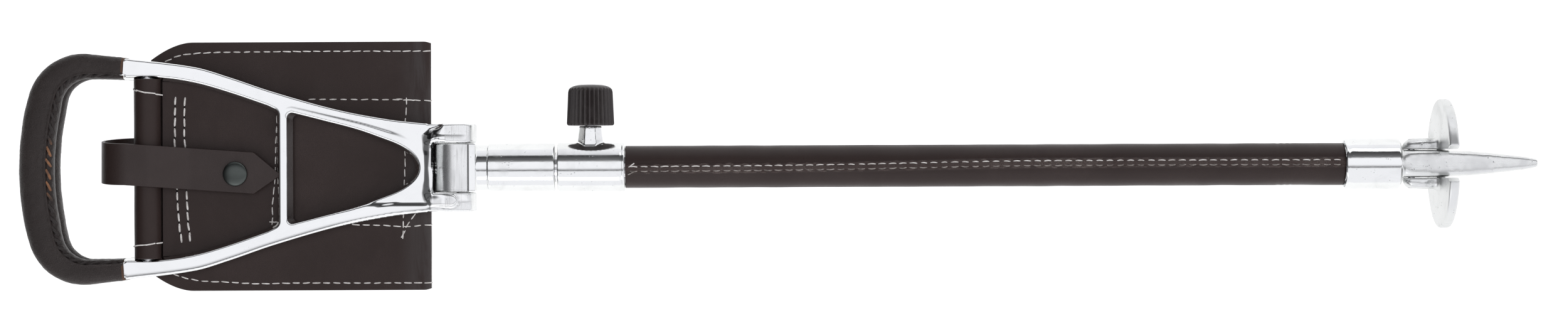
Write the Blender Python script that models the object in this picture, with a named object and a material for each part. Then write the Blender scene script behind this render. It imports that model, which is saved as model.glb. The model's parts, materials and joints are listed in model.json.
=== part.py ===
"""Seat stick: a walking stick whose two D handles open into a leather sling seat.

Metres. The stick lies along X with its point at +X and its clamp knob at +Y, and
the rim of its ground plate touches z = 0. Lengths along the stick are measured
from the handles' hinge pins; a reach is a distance from the pins to the grip.
Reaches named as drawn give the frame's outline as it was drawn; it stretches so
that its last station comes just before the grip.
"""
import math

import bmesh
import bpy
from mathutils import Matrix, Vector

# Clearances
GAP = 0.0003
SLIDE_GAP = 0.0003
PIN_EDGE = 0.0004

# Ground plate
PLATE_RADIUS = 0.0365
PLATE_THICKNESS = 0.006
PLATE_EDGE = 0.0008
PLATE_FROM_PIVOT = 0.0152
PLATE_SLOT_FLARE = 0.0025
PLATE_SLOT_CORNER = 0.0025
EAR_THICKNESS = 0.0062
EAR_RADIUS = 0.0052
EAR_ROOT = 0.002
EAR_OVERLAP = 0.0005
PIVOT_PIN_RADIUS = 0.002

# Leather and frame thicknesses, which set the height of the hinge pins
SHEET_THICKNESS = 0.0018
PATCH_THICKNESS = 0.0016
FRAME_THICKNESS = 0.0074
PIN_HEIGHT = GAP + SHEET_THICKNESS + GAP + PATCH_THICKNESS + GAP + FRAME_THICKNESS / 2

# Handle frame, in reaches from the hinge pins and half widths
HANDLE_REACH = 0.2494
GRIP_WIDTH = 0.0196
GRIP_DEPTH = 0.0154
GRIP_END_WIDTH = 0.0126
GRIP_END_DEPTH = 0.0108
GRIP_SPAN = 0.059
LEG_STEP = 0.0014
GRIP_BORE_GAP = 0.0004
BAR_WIDTH = 0.0094
BAR_ARC_RADIUS = 0.160
BAR_CORNER_RADIUS = 0.024
ARM_HALF_SPAN = 0.0582
DRAWN_LEG_OUTER = ((0.019, 0.0251), (0.040, 0.0275), (0.070, 0.0333), (0.106, 0.0435),
                   (0.1305, 0.0518), (0.150, 0.0575), (0.189, 0.0624))
DRAWN_LEG_INNER = ((0.1039, 0.0334), (0.1305, 0.0426), (0.150, 0.0482),
                   (0.1695, 0.0511), (0.189, 0.0514))
DRAWN_BRACE_REACH = 0.1028
BRACE_WIDTH = 0.0044
BRACE_FILLET = 0.0035
DRAWN_TRIANGLE_EDGE = ((0.0407, 0.0156), (0.0578, 0.0217), (0.078, 0.0271), (0.0984, 0.0324))
DRAWN_TRIANGLE_END = 0.023
TRIANGLE_FILLET = 0.003
TRIANGLE_DRAFT = 0.0036
TRIANGLE_ROUNDING = 0.0012
WEB_START = 0.0156
FRAME_ROUNDING = 0.0018
LUG_INNER = 0.0142
LUG_OUTER = 0.0247
LUG_REACH = 0.030
LUG_TIP = 0.003
LUG_CHAMFER = 0.0012
HINGE_PIN_RADIUS = 0.0025

# Seat rods
HAND_ROOM = 0.0723
ROD_RADIUS = 0.004
SPIGOT_RADIUS = 0.0025
SPIGOT_LENGTH = 0.0055
ROD_BOSS_RADIUS = 0.0046
ROD_BOSS_LENGTH = 0.0075

# Seat sheet and its patches
SHEET_HALF_WIDTH = 0.0713
SHEET_FOLD = 0.0174
SHEET_SHOULDER_LENGTH = 0.0245
SHEET_SHOULDER_RISE = 0.010
FOLD_LENGTH = 0.0117
LOOP_STEP = 0.0002
PATCH_HALF_WIDTH = 0.0495
PATCH_UNDER_BRACE = 0.0029

# Closing strap with its press stud
STRAP_WIDTH = 0.0235
STRAP_THICKNESS = 0.0017
STRAP_LIFT = 0.0029
STRAP_TIP_GAP = 0.0001
STRAP_POINT_LENGTH = 0.0142
STRAP_POINT_WIDTH = 0.003
STRAP_BEND_PAST_ROD = 0.02635
STRAP_RISE_BEFORE_ROD = 0.0225
STRAP_RISE_RADIUS = 0.012
STRAP_TIP_SHIFT = -0.0036
STRAP_BEND_SHIFT = 0.0043
STRAP_BACK_BEFORE_ROD = 0.0471
STRAP_RIVET_MARGIN = 0.0065
STRAP_RIVET_PITCH = 0.010
STRAP_RIVET_RADIUS = 0.0015
STRAP_RIVET_HEAD = 0.0035
STRAP_RIVET_HEIGHT = 0.0012
SNAP_FROM_TIP = 0.0246
SNAP_CAP_RADIUS = 0.00695
SNAP_CAP_HEIGHT = 0.0027
SNAP_CAP_RIM = 0.0005
SNAP_BASE_RADIUS = 0.004
SNAP_POST_RADIUS = 0.0021
SNAP_SOCKET_RADIUS = 0.0052
SNAP_SHANK_RADIUS = 0.0015
FLANGE_THICKNESS = 0.0006

# Head block
BARREL_HALF_WIDTH = LUG_INNER - GAP
BARREL_MARGIN = 0.0056
BARREL_NOSE_OFFSET = 0.0023
FLANGE_START = 0.00465
FLANGE_LENGTH = 0.00395
FLANGE_PROUD = 0.0005
NECK_RADIUS = 0.013
NECK_CHAMFER = 0.0008
NECK_LENGTH = 0.0064
SOCKET_RADIUS = 0.01365
SOCKET_LENGTH = 0.0381
SOCKET_FLOOR = 0.0201
HEAD_RIVET_RADIUS = 0.002
HEAD_RIVET_AT = 0.0344

# Inner tube
INNER_TUBE_RADIUS = 0.008
INNER_TUBE_WALL = 0.0015
INNER_TUBE_LENGTH = 0.230
FLAT_DEPTH = 0.0008
TRAVEL = 0.120
GUIDE_RING_LENGTH = 0.012
PLUG_LENGTH = 0.010
PLUG_FLANGE = 0.002

# Clamp collar and knob
COLLAR_START = 0.0545
COLLAR_LENGTH = 0.0381
COLLAR_RADIUS = 0.01405
COLLAR_EDGE = 0.0008
COLLAR_SHOULDER = 0.0257
BUSH_LENGTH = 0.012
BUSH_WALL = 0.0014
KNOB_AT = 0.073
BOSS_BASE_RADIUS = 0.008
BOSS_TOP_RADIUS = 0.007
BOSS_TOP = 0.0233
BOSS_FLARE = 0.0008
BOSS_STEP = 0.0015
BOSS_FLATS = 8
SCREW_RADIUS = 0.004
SCREW_GRIP = 0.012
PAD_RADIUS = 0.0035
PAD_THICKNESS = 0.0022
KNOB_BASE_RADIUS = 0.0135
KNOB_TOP_RADIUS = 0.0125
KNOB_HEIGHT = 0.0232
KNOB_DOME = 0.0031
KNOB_FOOT = 0.0012
KNOB_FOOT_CHAMFER = 0.0006
KNOB_FLUTES = 30
KNOB_FLUTE_DEPTH = 0.0007

# Outer tube and its leather sleeve
OUTER_TUBE_RADIUS = 0.010
OUTER_TUBE_WALL = 0.0008
OUTER_TUBE_LENGTH = 0.445
LEATHER_WALL = 0.0016
SEAM_RIB = 0.0007
SEAM_START_ANGLE = 88.0
SEAM_END_ANGLE = 66.0

# Ferrule and spike
FERRULE_LENGTH = 0.0316
FERRULE_RADIUS = 0.0146
FERRULE_EDGE = 0.0015
FERRULE_LIP = 0.0004
FERRULE_MOUTH = 0.0008
FERRULE_PAST_TUBE = 0.0064
FERRULE_RIVET_RADIUS = 0.0019
FERRULE_RIVET_AT = 0.0103
TANG_RADIUS = 0.0065
TANG_LENGTH = 0.030
SPIKE_ROOT_RADIUS = 0.00885
SPIKE_ROOT_FLARE = 0.0009
SPIKE_HALF_WIDTH = 0.00775
SPIKE_SHOULDER = 0.008
SPIKE_LENGTH = 0.0781
SPIKE_WIDTHS = ((0.0, 0.0155), (0.019, 0.0151), (0.0315, 0.0135), (0.0442, 0.01147),
                (0.0575, 0.00845), (0.068, 0.00535), (0.0701, 0.00403))
PIVOT_FROM_FERRULE = 0.0068

# Facets
ROUND_STEPS = 32
SMALL_ROUND_STEPS = 16

# Lengths along the stick that follow from the sizes above
SOCKET_START = FLANGE_START + FLANGE_LENGTH + NECK_LENGTH
SOCKET_END = SOCKET_START + SOCKET_LENGTH
COLLAR_END = COLLAR_START + COLLAR_LENGTH
TUBE_START = COLLAR_START + COLLAR_SHOULDER + GAP
TUBE_END = TUBE_START + OUTER_TUBE_LENGTH
FERRULE_END = TUBE_END + FERRULE_PAST_TUBE
FERRULE_START = FERRULE_END - FERRULE_LENGTH
LEATHER_START = COLLAR_END + GAP
LEATHER_END = FERRULE_START - GAP
SPIKE_START = FERRULE_END + GAP
SPIKE_END = SPIKE_START + SPIKE_LENGTH
PIVOT_AT = FERRULE_END + PIVOT_FROM_FERRULE
INNER_TUBE_START = SOCKET_FLOOR + GAP
INNER_TUBE_END = INNER_TUBE_START + INNER_TUBE_LENGTH
GUIDE_RING_START = COLLAR_START + COLLAR_SHOULDER + TRAVEL + GAP
CENTRE_X = (HANDLE_REACH - SPIKE_END) / 2
BORE_RADIUS = INNER_TUBE_RADIUS + SLIDE_GAP
LUG_RADIUS = PIN_HEIGHT - GAP
BARREL_HALF_DEPTH = PIN_HEIGHT + BARREL_MARGIN
LOOP_RADIUS = PIN_HEIGHT - GAP - LOOP_STEP
ROLL_CLEAR = LOOP_RADIUS + GAP + STRAP_THICKNESS / 2
PATCH_TOP = GAP + SHEET_THICKNESS + GAP + PATCH_THICKNESS
STRAP_HEIGHT = PATCH_TOP + STRAP_LIFT + STRAP_THICKNESS / 2

# Reaches that follow from the handle's
GRIP_START = HANDLE_REACH - GRIP_SPAN
STRETCH = (GRIP_START - LEG_STEP) / DRAWN_LEG_OUTER[-1][0]
BRACE_REACH = DRAWN_BRACE_REACH * STRETCH
TRIANGLE_END = DRAWN_TRIANGLE_END * STRETCH
LEG_OUTER = [(reach * STRETCH, half) for reach, half in DRAWN_LEG_OUTER]
LEG_INNER = [(reach * STRETCH, half) for reach, half in DRAWN_LEG_INNER]
TRIANGLE_EDGE = [(reach * STRETCH, half) for reach, half in DRAWN_TRIANGLE_EDGE]
ROD_REACH = HANDLE_REACH - HAND_ROOM
SEAT_START = ROD_REACH - LOOP_RADIUS
PATCH_END = BRACE_REACH - PATCH_UNDER_BRACE
STRAP_TIP = BRACE_REACH + STRAP_TIP_GAP
STRAP_BEND = ROD_REACH + STRAP_BEND_PAST_ROD
STRAP_RISE = ROD_REACH - STRAP_RISE_BEFORE_ROD
STRAP_BACK_END = ROD_REACH - STRAP_BACK_BEFORE_ROD
STRAP_RIVETS = (STRAP_BACK_END + STRAP_RIVET_MARGIN,
                STRAP_BACK_END + STRAP_RIVET_MARGIN + STRAP_RIVET_PITCH)
SNAP_REACH = STRAP_TIP + SNAP_FROM_TIP

bodies = {}


def clear_scene():
    """Remove every object of the open file."""
    for item in list(bpy.data.objects):
        bpy.data.objects.remove(item)


def add_body(name, place, parent=None):
    """An empty on a body's joint axis; place is measured from the stick's own centre line."""
    empty = bpy.data.objects.new(name, None)
    bpy.context.collection.objects.link(empty)
    empty.empty_display_size = 0.02
    if parent is None:
        empty.location = place
    else:
        empty.parent = bodies[parent][0]
        empty.location = Vector(place) - bodies[parent][1]
    bodies[name] = (empty, Vector(place) if parent else Vector((0, 0, 0)))


def make_material(name, colour, roughness, metallic=0.0):
    """A plain surface in the piece's own colour."""
    material = bpy.data.materials.new(name)
    material.use_nodes = True
    shader = material.node_tree.nodes["Principled BSDF"]
    shader.inputs["Base Color"].default_value = (*colour, 1.0)
    shader.inputs["Roughness"].default_value = roughness
    shader.inputs["Metallic"].default_value = metallic
    return material


def polished(name):
    """Polished cast or drawn aluminium."""
    return make_material(name, (0.86, 0.87, 0.88), 0.12, 1.0)


def plain_steel(name):
    """Bright steel of pins and rods."""
    return make_material(name, (0.6, 0.6, 0.61), 0.28, 1.0)


def dark_leather(name):
    """Dark brown smooth leather."""
    return make_material(name, (0.040, 0.028, 0.026), 0.5)


def place_mesh(name, mesh, body, material):
    """Link a mesh, modelled from the pins, as a child of its body's empty."""
    empty, origin = bodies[body]
    mesh.transform(Matrix.Translation(-origin))
    item = bpy.data.objects.new(name, mesh)
    bpy.context.collection.objects.link(item)
    item.parent = empty
    if material is None:
        item.hide_render = True
        item.display_type = "WIRE"
    else:
        mesh.materials.append(material)
        mesh.shade_smooth()
        mesh.set_sharp_from_angle(angle=math.radians(35))
    return item


def add_piece(name, bm, body, material):
    """Turn a bmesh into one named piece; with no material it is a cutter."""
    bmesh.ops.remove_doubles(bm, verts=bm.verts, dist=1e-7)
    bmesh.ops.recalc_face_normals(bm, faces=bm.faces)
    mesh = bpy.data.meshes.new(name)
    bm.to_mesh(mesh)
    bm.free()
    return place_mesh(name, mesh, body, material)


def combine(piece, operation, bm, body):
    """Join a bmesh to a piece, or cut it away, with an exact Boolean."""
    helper = add_piece(f"{piece.name}_{operation.lower()}", bm, body, None)
    modifier = piece.modifiers.new(operation.title(), "BOOLEAN")
    modifier.operation = operation
    modifier.solver = "EXACT"
    modifier.object = helper


def arc(centre, radius, start, end, steps):
    """Points of a circular arc, its angles in degrees."""
    points = []
    for step in range(steps + 1):
        angle = math.radians(start + (end - start) * step / steps)
        points.append((centre[0] + radius * math.cos(angle), centre[1] + radius * math.sin(angle)))
    return points


def smooth_height(knots, at):
    """Height of a smooth curve through knots that run in order along the first axis."""
    last = len(knots) - 1
    span = next((i for i in range(last) if at <= knots[i + 1][0]), last - 1)

    def slope(index):
        before = knots[max(index - 1, 0)]
        after = knots[min(index + 1, last)]
        return (after[1] - before[1]) / (after[0] - before[0])

    (left, low), (right, high) = knots[span], knots[span + 1]
    width = right - left
    part = min(max((at - left) / width, 0.0), 1.0)
    square, cube = part ** 2, part ** 3
    value = (2 * cube - 3 * square + 1) * low + (3 * square - 2 * cube) * high
    value += (cube - 2 * square + part) * width * slope(span)
    value += (cube - square) * width * slope(span + 1)
    return value


def smooth_edge(knots, start, end, steps):
    """Points of that smooth curve, at even steps from start to end."""
    places = [start + (end - start) * step / steps for step in range(steps + 1)]
    return [(place, smooth_height(knots, place)) for place in places]


def rounded(points, radii, steps=6):
    """A path whose inner corners are rounded, each with its own radius."""
    path = [Vector(points[0])]
    for before, corner, after, radius in zip(points, points[1:], points[2:], radii):
        corner = Vector(corner)
        inward = (Vector(before) - corner).normalized()
        outward = (Vector(after) - corner).normalized()
        half = inward.angle(outward) / 2
        centre = corner + (inward + outward).normalized() * radius / math.sin(half)
        first = corner + inward * radius / math.tan(half) - centre
        turn = first.angle_signed(corner + outward * radius / math.tan(half) - centre)
        for step in range(steps + 1):
            spoke = first.copy()
            spoke.rotate(Matrix.Rotation(-turn * step / steps, 2))
            path.append(centre + spoke)
    path.append(Vector(points[-1]))
    return [tuple(point) for point in path]


def mirrored(half):
    """A closed outline from its +Y half: the same points again at -Y, in reverse."""
    return half + [(x, -y) for x, y in reversed(half) if abs(y) > 1e-9]


def inset(outline, amount):
    """Move an outline's points inwards; the outline may run either way."""
    count = len(outline)
    area = sum(outline[i - 1][0] * outline[i][1] - outline[i][0] * outline[i - 1][1] for i in range(count))
    side = 1.0 if area > 0 else -1.0
    moved = []
    for index, point in enumerate(outline):
        here = Vector(point)
        before = (here - Vector(outline[index - 1])).normalized()
        after = (Vector(outline[(index + 1) % count]) - here).normalized()
        normal = Vector((-before.y - after.y, before.x + after.x)) * side
        normal /= max(normal.length_squared / 2, 1.0)
        moved.append(tuple(here + normal * amount))
    return moved


def loft(layers, bm=None, closed=False):
    """Skin a stack of outlines with equal counts; closed joins the last to the first."""
    bm = bm or bmesh.new()
    rings = [[bm.verts.new(point) for point in layer] for layer in layers]
    pairs = list(zip(rings, rings[1:]))
    if closed:
        pairs.append((rings[-1], rings[0]))
    for low, high in pairs:
        for index in range(len(low)):
            bm.faces.new((low[index - 1], low[index], high[index], high[index - 1]))
    if not closed:
        bm.faces.new(rings[0])
        bm.faces.new(rings[-1])
    return bm


def plate(outline, low, high, rounding=0.0, steps=2, bm=None):
    """A flat plate in XY between two heights, with rounded edges."""
    levels = [(low, rounding), (high, rounding)]
    if rounding:
        levels = []
        for step in range(steps + 1):
            angle = math.pi / 2 * step / steps
            levels.append((low + rounding * (1 - math.cos(angle)), rounding * (1 - math.sin(angle))))
        levels += [(low + high - height, depth) for height, depth in reversed(levels)]
    layers = [[(x, y, height) for x, y in inset(outline, depth)] for height, depth in levels]
    return loft(layers, bm)


def slab(outline, low, high, bm=None):
    """An XZ outline pushed from one Y to another."""
    return loft([[(x, y, z) for x, z in outline] for y in (low, high)], bm)


def turned(profile, centre=(0, 0, 0), along="X", steps=ROUND_STEPS, ring=False, bm=None):
    """Spin a profile of (length, radius) points round an axis; ring closes it as a tube."""
    target = bm or bmesh.new()
    part = bmesh.new()
    corners = [part.verts.new((length, radius, 0)) for length, radius in profile]
    pairs = list(zip(corners, corners[1:]))
    if ring:
        pairs.append((corners[-1], corners[0]))
    edges = [part.edges.new(pair) for pair in pairs]
    bmesh.ops.spin(part, geom=corners + edges, cent=(0, 0, 0), axis=(1, 0, 0),
                   angle=2 * math.pi, steps=steps, use_merge=True)
    bmesh.ops.remove_doubles(part, verts=part.verts, dist=1e-7)
    turn = {"X": Matrix.Identity(4), "Y": Matrix.Rotation(math.pi / 2, 4, "Z"),
            "Z": Matrix.Rotation(-math.pi / 2, 4, "Y")}[along]
    bmesh.ops.transform(part, matrix=Matrix.Translation(centre) @ turn, verts=part.verts)
    bmesh.ops.recalc_face_normals(part, faces=part.faces)
    mesh = bpy.data.meshes.new("turned")
    part.to_mesh(mesh)
    part.free()
    target.from_mesh(mesh)
    bpy.data.meshes.remove(mesh)
    return target


def rod(start, end, radius, centre=(0, 0, 0), along="X", steps=SMALL_ROUND_STEPS, edge=0.0, bm=None):
    """A solid round bar with small edge chamfers."""
    profile = [(start, 0), (start, radius - edge), (start + edge, radius),
               (end - edge, radius), (end, radius - edge), (end, 0)]
    if not edge:
        profile = [(start, 0), (start, radius), (end, radius), (end, 0)]
    return turned(profile, centre, along, steps, bm=bm)


def tube(start, end, outer, inner, centre=(0, 0, 0), along="X", steps=ROUND_STEPS, bm=None):
    """A plain tube."""
    profile = [(start, inner), (start, outer), (end, outer), (end, inner)]
    return turned(profile, centre, along, steps, ring=True, bm=bm)


def oval(half_width, half_depth, power, count):
    """A rounded section as (across, up) points: 2 is an ellipse, more is squarer."""
    points = []
    for step in range(count):
        angle = 2 * math.pi * step / count
        across, up = math.cos(angle), math.sin(angle)
        points.append((half_width * math.copysign(abs(across) ** (2 / power), across),
                       half_depth * math.copysign(abs(up) ** (2 / power), up)))
    return points


def leg_edge(knots, start, end, steps):
    """A leg's edge in stick coordinates, where the handle runs towards -X."""
    return [(-reach, half) for reach, half in smooth_edge(knots, start, end, steps)]


def bar_loop(shift, corner_steps=7, bar_steps=4):
    """The D bar's line or edge, from the upper arm round to its middle."""
    far = HANDLE_REACH - GRIP_WIDTH / 2
    bar_centre = Vector((BAR_ARC_RADIUS - far, 0))
    corner_y = ARM_HALF_SPAN - BAR_CORNER_RADIUS
    corner_x = bar_centre.x - math.sqrt((BAR_ARC_RADIUS - BAR_CORNER_RADIUS) ** 2 - corner_y ** 2)
    meet = math.degrees(math.atan2(corner_y, corner_x - bar_centre.x))
    corner = arc((corner_x, corner_y), BAR_CORNER_RADIUS + shift, 90, meet, corner_steps)
    return corner + arc(bar_centre, BAR_ARC_RADIUS + shift, meet, 180, bar_steps)[1:]


def arm_middle(reach):
    """Half width of an arm's middle line."""
    return (smooth_height(LEG_OUTER, reach) + smooth_height(LEG_INNER, reach)) / 2


def frame_outline():
    """Outer edge of a handle frame."""
    start, end = LEG_OUTER[0][0], LEG_OUTER[-1][0]
    half = [(-WEB_START, LEG_OUTER[0][1] - 2 * FRAME_ROUNDING)]
    half += leg_edge(LEG_OUTER, start, end, 16)
    half.append((-GRIP_START + 2 * GAP, arm_middle(GRIP_START) + BAR_WIDTH / 2))
    half += bar_loop(BAR_WIDTH / 2)
    return mirrored(half)


def grip_opening():
    """The D opening inside the grip, as far as the crossbrace."""
    start, end = LEG_INNER[0][0], LEG_INNER[-1][0]
    leg = leg_edge(LEG_INNER, start + BRACE_FILLET, end, 9)
    foot = (-BRACE_REACH, smooth_height(LEG_INNER, start) - BRACE_FILLET / 3)
    corner = rounded([(-BRACE_REACH, 0.0), foot, leg[1]], [BRACE_FILLET], 4)
    shoulder = [(-GRIP_START + 2 * GAP, arm_middle(GRIP_START) - BAR_WIDTH / 2)]
    return mirrored(corner[:-1] + leg[1:] + shoulder + bar_loop(-BAR_WIDTH / 2))


def triangle_opening():
    """The opening between the crossbrace and the web, at the frame's outer face."""
    left = BRACE_REACH - BRACE_WIDTH
    start = TRIANGLE_EDGE[0]
    slope = (TRIANGLE_EDGE[1][1] - start[1]) / (TRIANGLE_EDGE[1][0] - start[0])
    run = (start[0] - TRIANGLE_END) * 0.6
    nose = [Vector((TRIANGLE_END, 0.0)), Vector((TRIANGLE_END, start[1] * 0.4)),
            Vector((start[0] - run, start[1] - slope * run)), Vector(start)]
    half = []
    for step in range(7):
        part = step / 6
        point = nose[0] * (1 - part) ** 3 + nose[1] * 3 * part * (1 - part) ** 2
        point += nose[2] * 3 * part ** 2 * (1 - part) + nose[3] * part ** 3
        half.append((-point.x, point.y))
    edge = leg_edge(TRIANGLE_EDGE, start[0], left - TRIANGLE_FILLET, 7)
    corner = (-left, smooth_height(TRIANGLE_EDGE, left))
    half += edge[1:-1] + rounded([edge[-2], corner, (-left, 0.0)], [TRIANGLE_FILLET], 4)[1:]
    return mirrored(half)


def tangent_lug():
    """Side outline of a lug: round at the pin, tapering to a tip inside the plate."""
    distance = math.hypot(LUG_REACH, LUG_TIP)
    slope = math.asin(LUG_RADIUS / distance) - math.atan2(LUG_TIP, LUG_REACH)
    turn = 90 + math.degrees(slope)
    points = arc((0, 0), LUG_RADIUS, -turn, turn, 14)
    return [(x, PIN_HEIGHT + z) for x, z in points + [(-LUG_REACH, LUG_TIP), (-LUG_REACH, -LUG_TIP)]]


def opening_cutter(outline, low, high, rounding, draft, bm=None):
    """A cutter that flares at both faces of a plate; draft narrows it, end to end, towards low."""
    middle = (min(x for x, _ in outline) + max(x for x, _ in outline)) / 2
    half_length = max(x for x, _ in outline) - middle
    levels = []
    for step in range(3):
        angle = math.pi / 4 * step
        levels.append((low + rounding * (1 - math.cos(angle)), -rounding * (1 - math.sin(angle))))
    levels += [(low + high - height, depth) for height, depth in reversed(levels)]
    levels = [(low - rounding, -rounding)] + levels + [(high + rounding, -rounding)]
    layers = []
    for height, depth in levels:
        shrink = 1 - draft / half_length * (high - height) / (high - low)
        layers.append([(middle + (x - middle) * shrink, y * (1 + shrink) / 2, height)
                       for x, y in inset(outline, depth)])
    return loft(layers, bm)


def make_frame(side, body):
    """One cast handle frame; side is +1 in front and -1 behind."""
    low, high = PIN_HEIGHT - FRAME_THICKNESS / 2, PIN_HEIGHT + FRAME_THICKNESS / 2

    def mirror(bm):
        bmesh.ops.scale(bm, vec=(1, 1, side), verts=bm.verts)
        return bm

    prefix = "front" if side > 0 else "rear"
    frame = add_piece(f"{prefix}_frame", mirror(plate(frame_outline(), low, high, FRAME_ROUNDING)),
                      body, polished(f"{prefix}_frame_metal"))

    lugs = bmesh.new()
    outline = tangent_lug()
    for hand in (1, -1):
        layers = []
        for across, depth in ((LUG_INNER, 0), (LUG_OUTER - LUG_CHAMFER, 0), (LUG_OUTER, LUG_CHAMFER)):
            layers.append([(x, hand * across, z) for x, z in inset(outline, depth)])
        loft(layers, lugs)
        start, end = sorted((hand * leg_inner_at_rod(), hand * (leg_inner_at_rod() + ROD_BOSS_LENGTH)))
        rod(start, end, ROD_BOSS_RADIUS, (-ROD_REACH, 0, PIN_HEIGHT), "Y", bm=lugs)
    combine(frame, "UNION", mirror(lugs), body)

    holes = opening_cutter(grip_opening(), low, high, FRAME_ROUNDING, 0.0)
    opening_cutter(triangle_opening(), low, high, TRIANGLE_ROUNDING, TRIANGLE_DRAFT, holes)
    combine(frame, "DIFFERENCE", mirror(holes), body)

    bores = rod(-2 * LUG_OUTER, 2 * LUG_OUTER, HINGE_PIN_RADIUS + GAP, (0, 0, PIN_HEIGHT), "Y")
    end = leg_inner_at_rod() + SPIGOT_LENGTH + GAP
    rod(-end, end, SPIGOT_RADIUS + GAP, (-ROD_REACH, 0, PIN_HEIGHT), "Y", bm=bores)
    combine(frame, "DIFFERENCE", mirror(bores), body)


def leg_inner_at_rod():
    """Half the distance between the legs where the seat rod goes in."""
    shifts = (-ROD_BOSS_RADIUS, 0, ROD_BOSS_RADIUS)
    return min(smooth_height(LEG_INNER, ROD_REACH + shift) for shift in shifts)


def make_grip(side, body):
    """The leather sewn round a handle's D bar."""
    half_path = [(-GRIP_START, arm_middle(GRIP_START))] + bar_loop(0.0, 7, 4)
    line = mirrored(half_path)
    line = [Vector(point) for point in line]
    lengths = [0.0]
    for here, there in zip(line, line[1:]):
        lengths.append(lengths[-1] + (there - here).length)
    full = lengths[-1] * 0.36
    layers, bores = [], []
    for index, here in enumerate(line):
        before, after = line[max(index - 1, 0)], line[min(index + 1, len(line) - 1)]
        run = (after - before).normalized()
        across = Vector((-run.y, run.x))
        part = min(min(lengths[index], lengths[-1] - lengths[index]) / full, 1.0)
        blend = part * part * (3 - 2 * part)
        width = GRIP_END_WIDTH + (GRIP_WIDTH - GRIP_END_WIDTH) * blend
        depth = GRIP_END_DEPTH + (GRIP_DEPTH - GRIP_END_DEPTH) * blend

        def lay(section):
            return [(here.x + across.x * u, here.y + across.y * u, side * (PIN_HEIGHT + v))
                    for u, v in section]

        layers.append(lay(oval(width / 2, depth / 2, 2.5, 12)))
        bores.append(lay(oval(BAR_WIDTH / 2 + GRIP_BORE_GAP, FRAME_THICKNESS / 2 + GRIP_BORE_GAP, 4, 12)))
    prefix = "front" if side > 0 else "rear"
    add_piece(f"{prefix}_grip", loft(layers + bores[::-1], closed=True), body,
              make_material(f"{prefix}_grip_leather", (0.018, 0.014, 0.013), 0.6))


def make_seat_rod(side, body):
    """The cross rod, with turned-down ends in the legs."""
    shoulder = leg_inner_at_rod() - GAP
    end = leg_inner_at_rod() + SPIGOT_LENGTH
    profile = [(-end, 0), (-end, SPIGOT_RADIUS), (-shoulder, SPIGOT_RADIUS), (-shoulder, ROD_RADIUS),
               (shoulder, ROD_RADIUS), (shoulder, SPIGOT_RADIUS), (end, SPIGOT_RADIUS), (end, 0)]
    prefix = "front" if side > 0 else "rear"
    bar = turned(profile, (-ROD_REACH, 0, side * PIN_HEIGHT), "Y", SMALL_ROUND_STEPS)
    add_piece(f"{prefix}_seat_rod", bar, body, plain_steel(f"{prefix}_rod_steel"))


def make_seat_panel(side, body):
    """Half of the seat sheet, with the loop that its rod runs through."""
    corner = (-(ROD_REACH - SHEET_SHOULDER_LENGTH), SHEET_HALF_WIDTH - SHEET_SHOULDER_RISE)
    half = [(-(SHEET_FOLD + FOLD_LENGTH + GAP), SHEET_HALF_WIDTH)]
    for x, y in arc((0, 0), 1.0, 90, 180, 8):
        half.append((corner[0] + SHEET_SHOULDER_LENGTH * x, corner[1] + SHEET_SHOULDER_RISE * y))
    prefix = "front" if side > 0 else "rear"
    sheet = plate(mirrored(half), side * GAP, side * (GAP + SHEET_THICKNESS))
    panel = add_piece(f"{prefix}_seat_panel", sheet, body, dark_leather(f"{prefix}_seat_leather"))
    width = leg_inner_at_rod() - 2 * GAP
    centre = (-ROD_REACH, 0, side * PIN_HEIGHT)
    loop = rod(-width, width, LOOP_RADIUS, centre, "Y", 20)
    combine(panel, "UNION", loop, body)
    bore = rod(-2 * width, 2 * width, ROD_RADIUS + GAP, centre, "Y", SMALL_ROUND_STEPS)
    combine(panel, "DIFFERENCE", bore, body)


def make_seat_fold(body):
    """The fold at the pins' end, where the two halves of the sheet are one piece."""
    outer, inner = GAP + SHEET_THICKNESS, GAP
    start = -(SHEET_FOLD + FOLD_LENGTH)
    turn = -SHEET_FOLD - outer
    outline = [(start, -outer)] + arc((turn, 0), outer, -90, 90, 8) + [(start, outer), (start, inner)]
    outline += arc((turn, 0), inner, 90, -90, 4) + [(start, -inner)]
    fold = slab(outline, -SHEET_HALF_WIDTH, SHEET_HALF_WIDTH)
    add_piece("seat_fold", fold, body, dark_leather("seat_fold_leather"))


def make_patch(side, body):
    """The outer patch sewn on a seat end, with recesses for its rivets."""
    low, high = PATCH_TOP - PATCH_THICKNESS, PATCH_TOP
    half = PATCH_HALF_WIDTH
    start, end = GAP - SEAT_START, -PATCH_END
    outline = [(start, -half), (end, -half), (end, half), (start, half)]
    prefix = "front" if side > 0 else "rear"
    patch = add_piece(f"{prefix}_end_patch", plate(outline, side * low, side * high), body,
                      dark_leather(f"{prefix}_patch_leather"))
    cutters = bmesh.new()
    for reach, flange, shank in patch_rivets(side):
        under, over, seat = low - PATCH_THICKNESS, high + PATCH_THICKNESS, low + FLANGE_THICKNESS + GAP
        profile = [(under, 0), (under, flange + GAP), (seat, flange + GAP), (seat, shank + GAP),
                   (over, shank + GAP), (over, 0)]
        turned(profile, (-reach, strap_shift(reach, side), 0), "Z", SMALL_ROUND_STEPS, bm=cutters)
    bmesh.ops.scale(cutters, vec=(1, 1, side), verts=cutters.verts)
    combine(patch, "DIFFERENCE", cutters, body)


def patch_rivets(side):
    """Reach, flange radius and shank radius of each rivet in a patch."""
    if side > 0:
        return [(SNAP_REACH, SNAP_BASE_RADIUS, SNAP_SHANK_RADIUS)]
    return [(reach, STRAP_RIVET_HEAD, STRAP_RIVET_RADIUS) for reach in STRAP_RIVETS]


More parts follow.
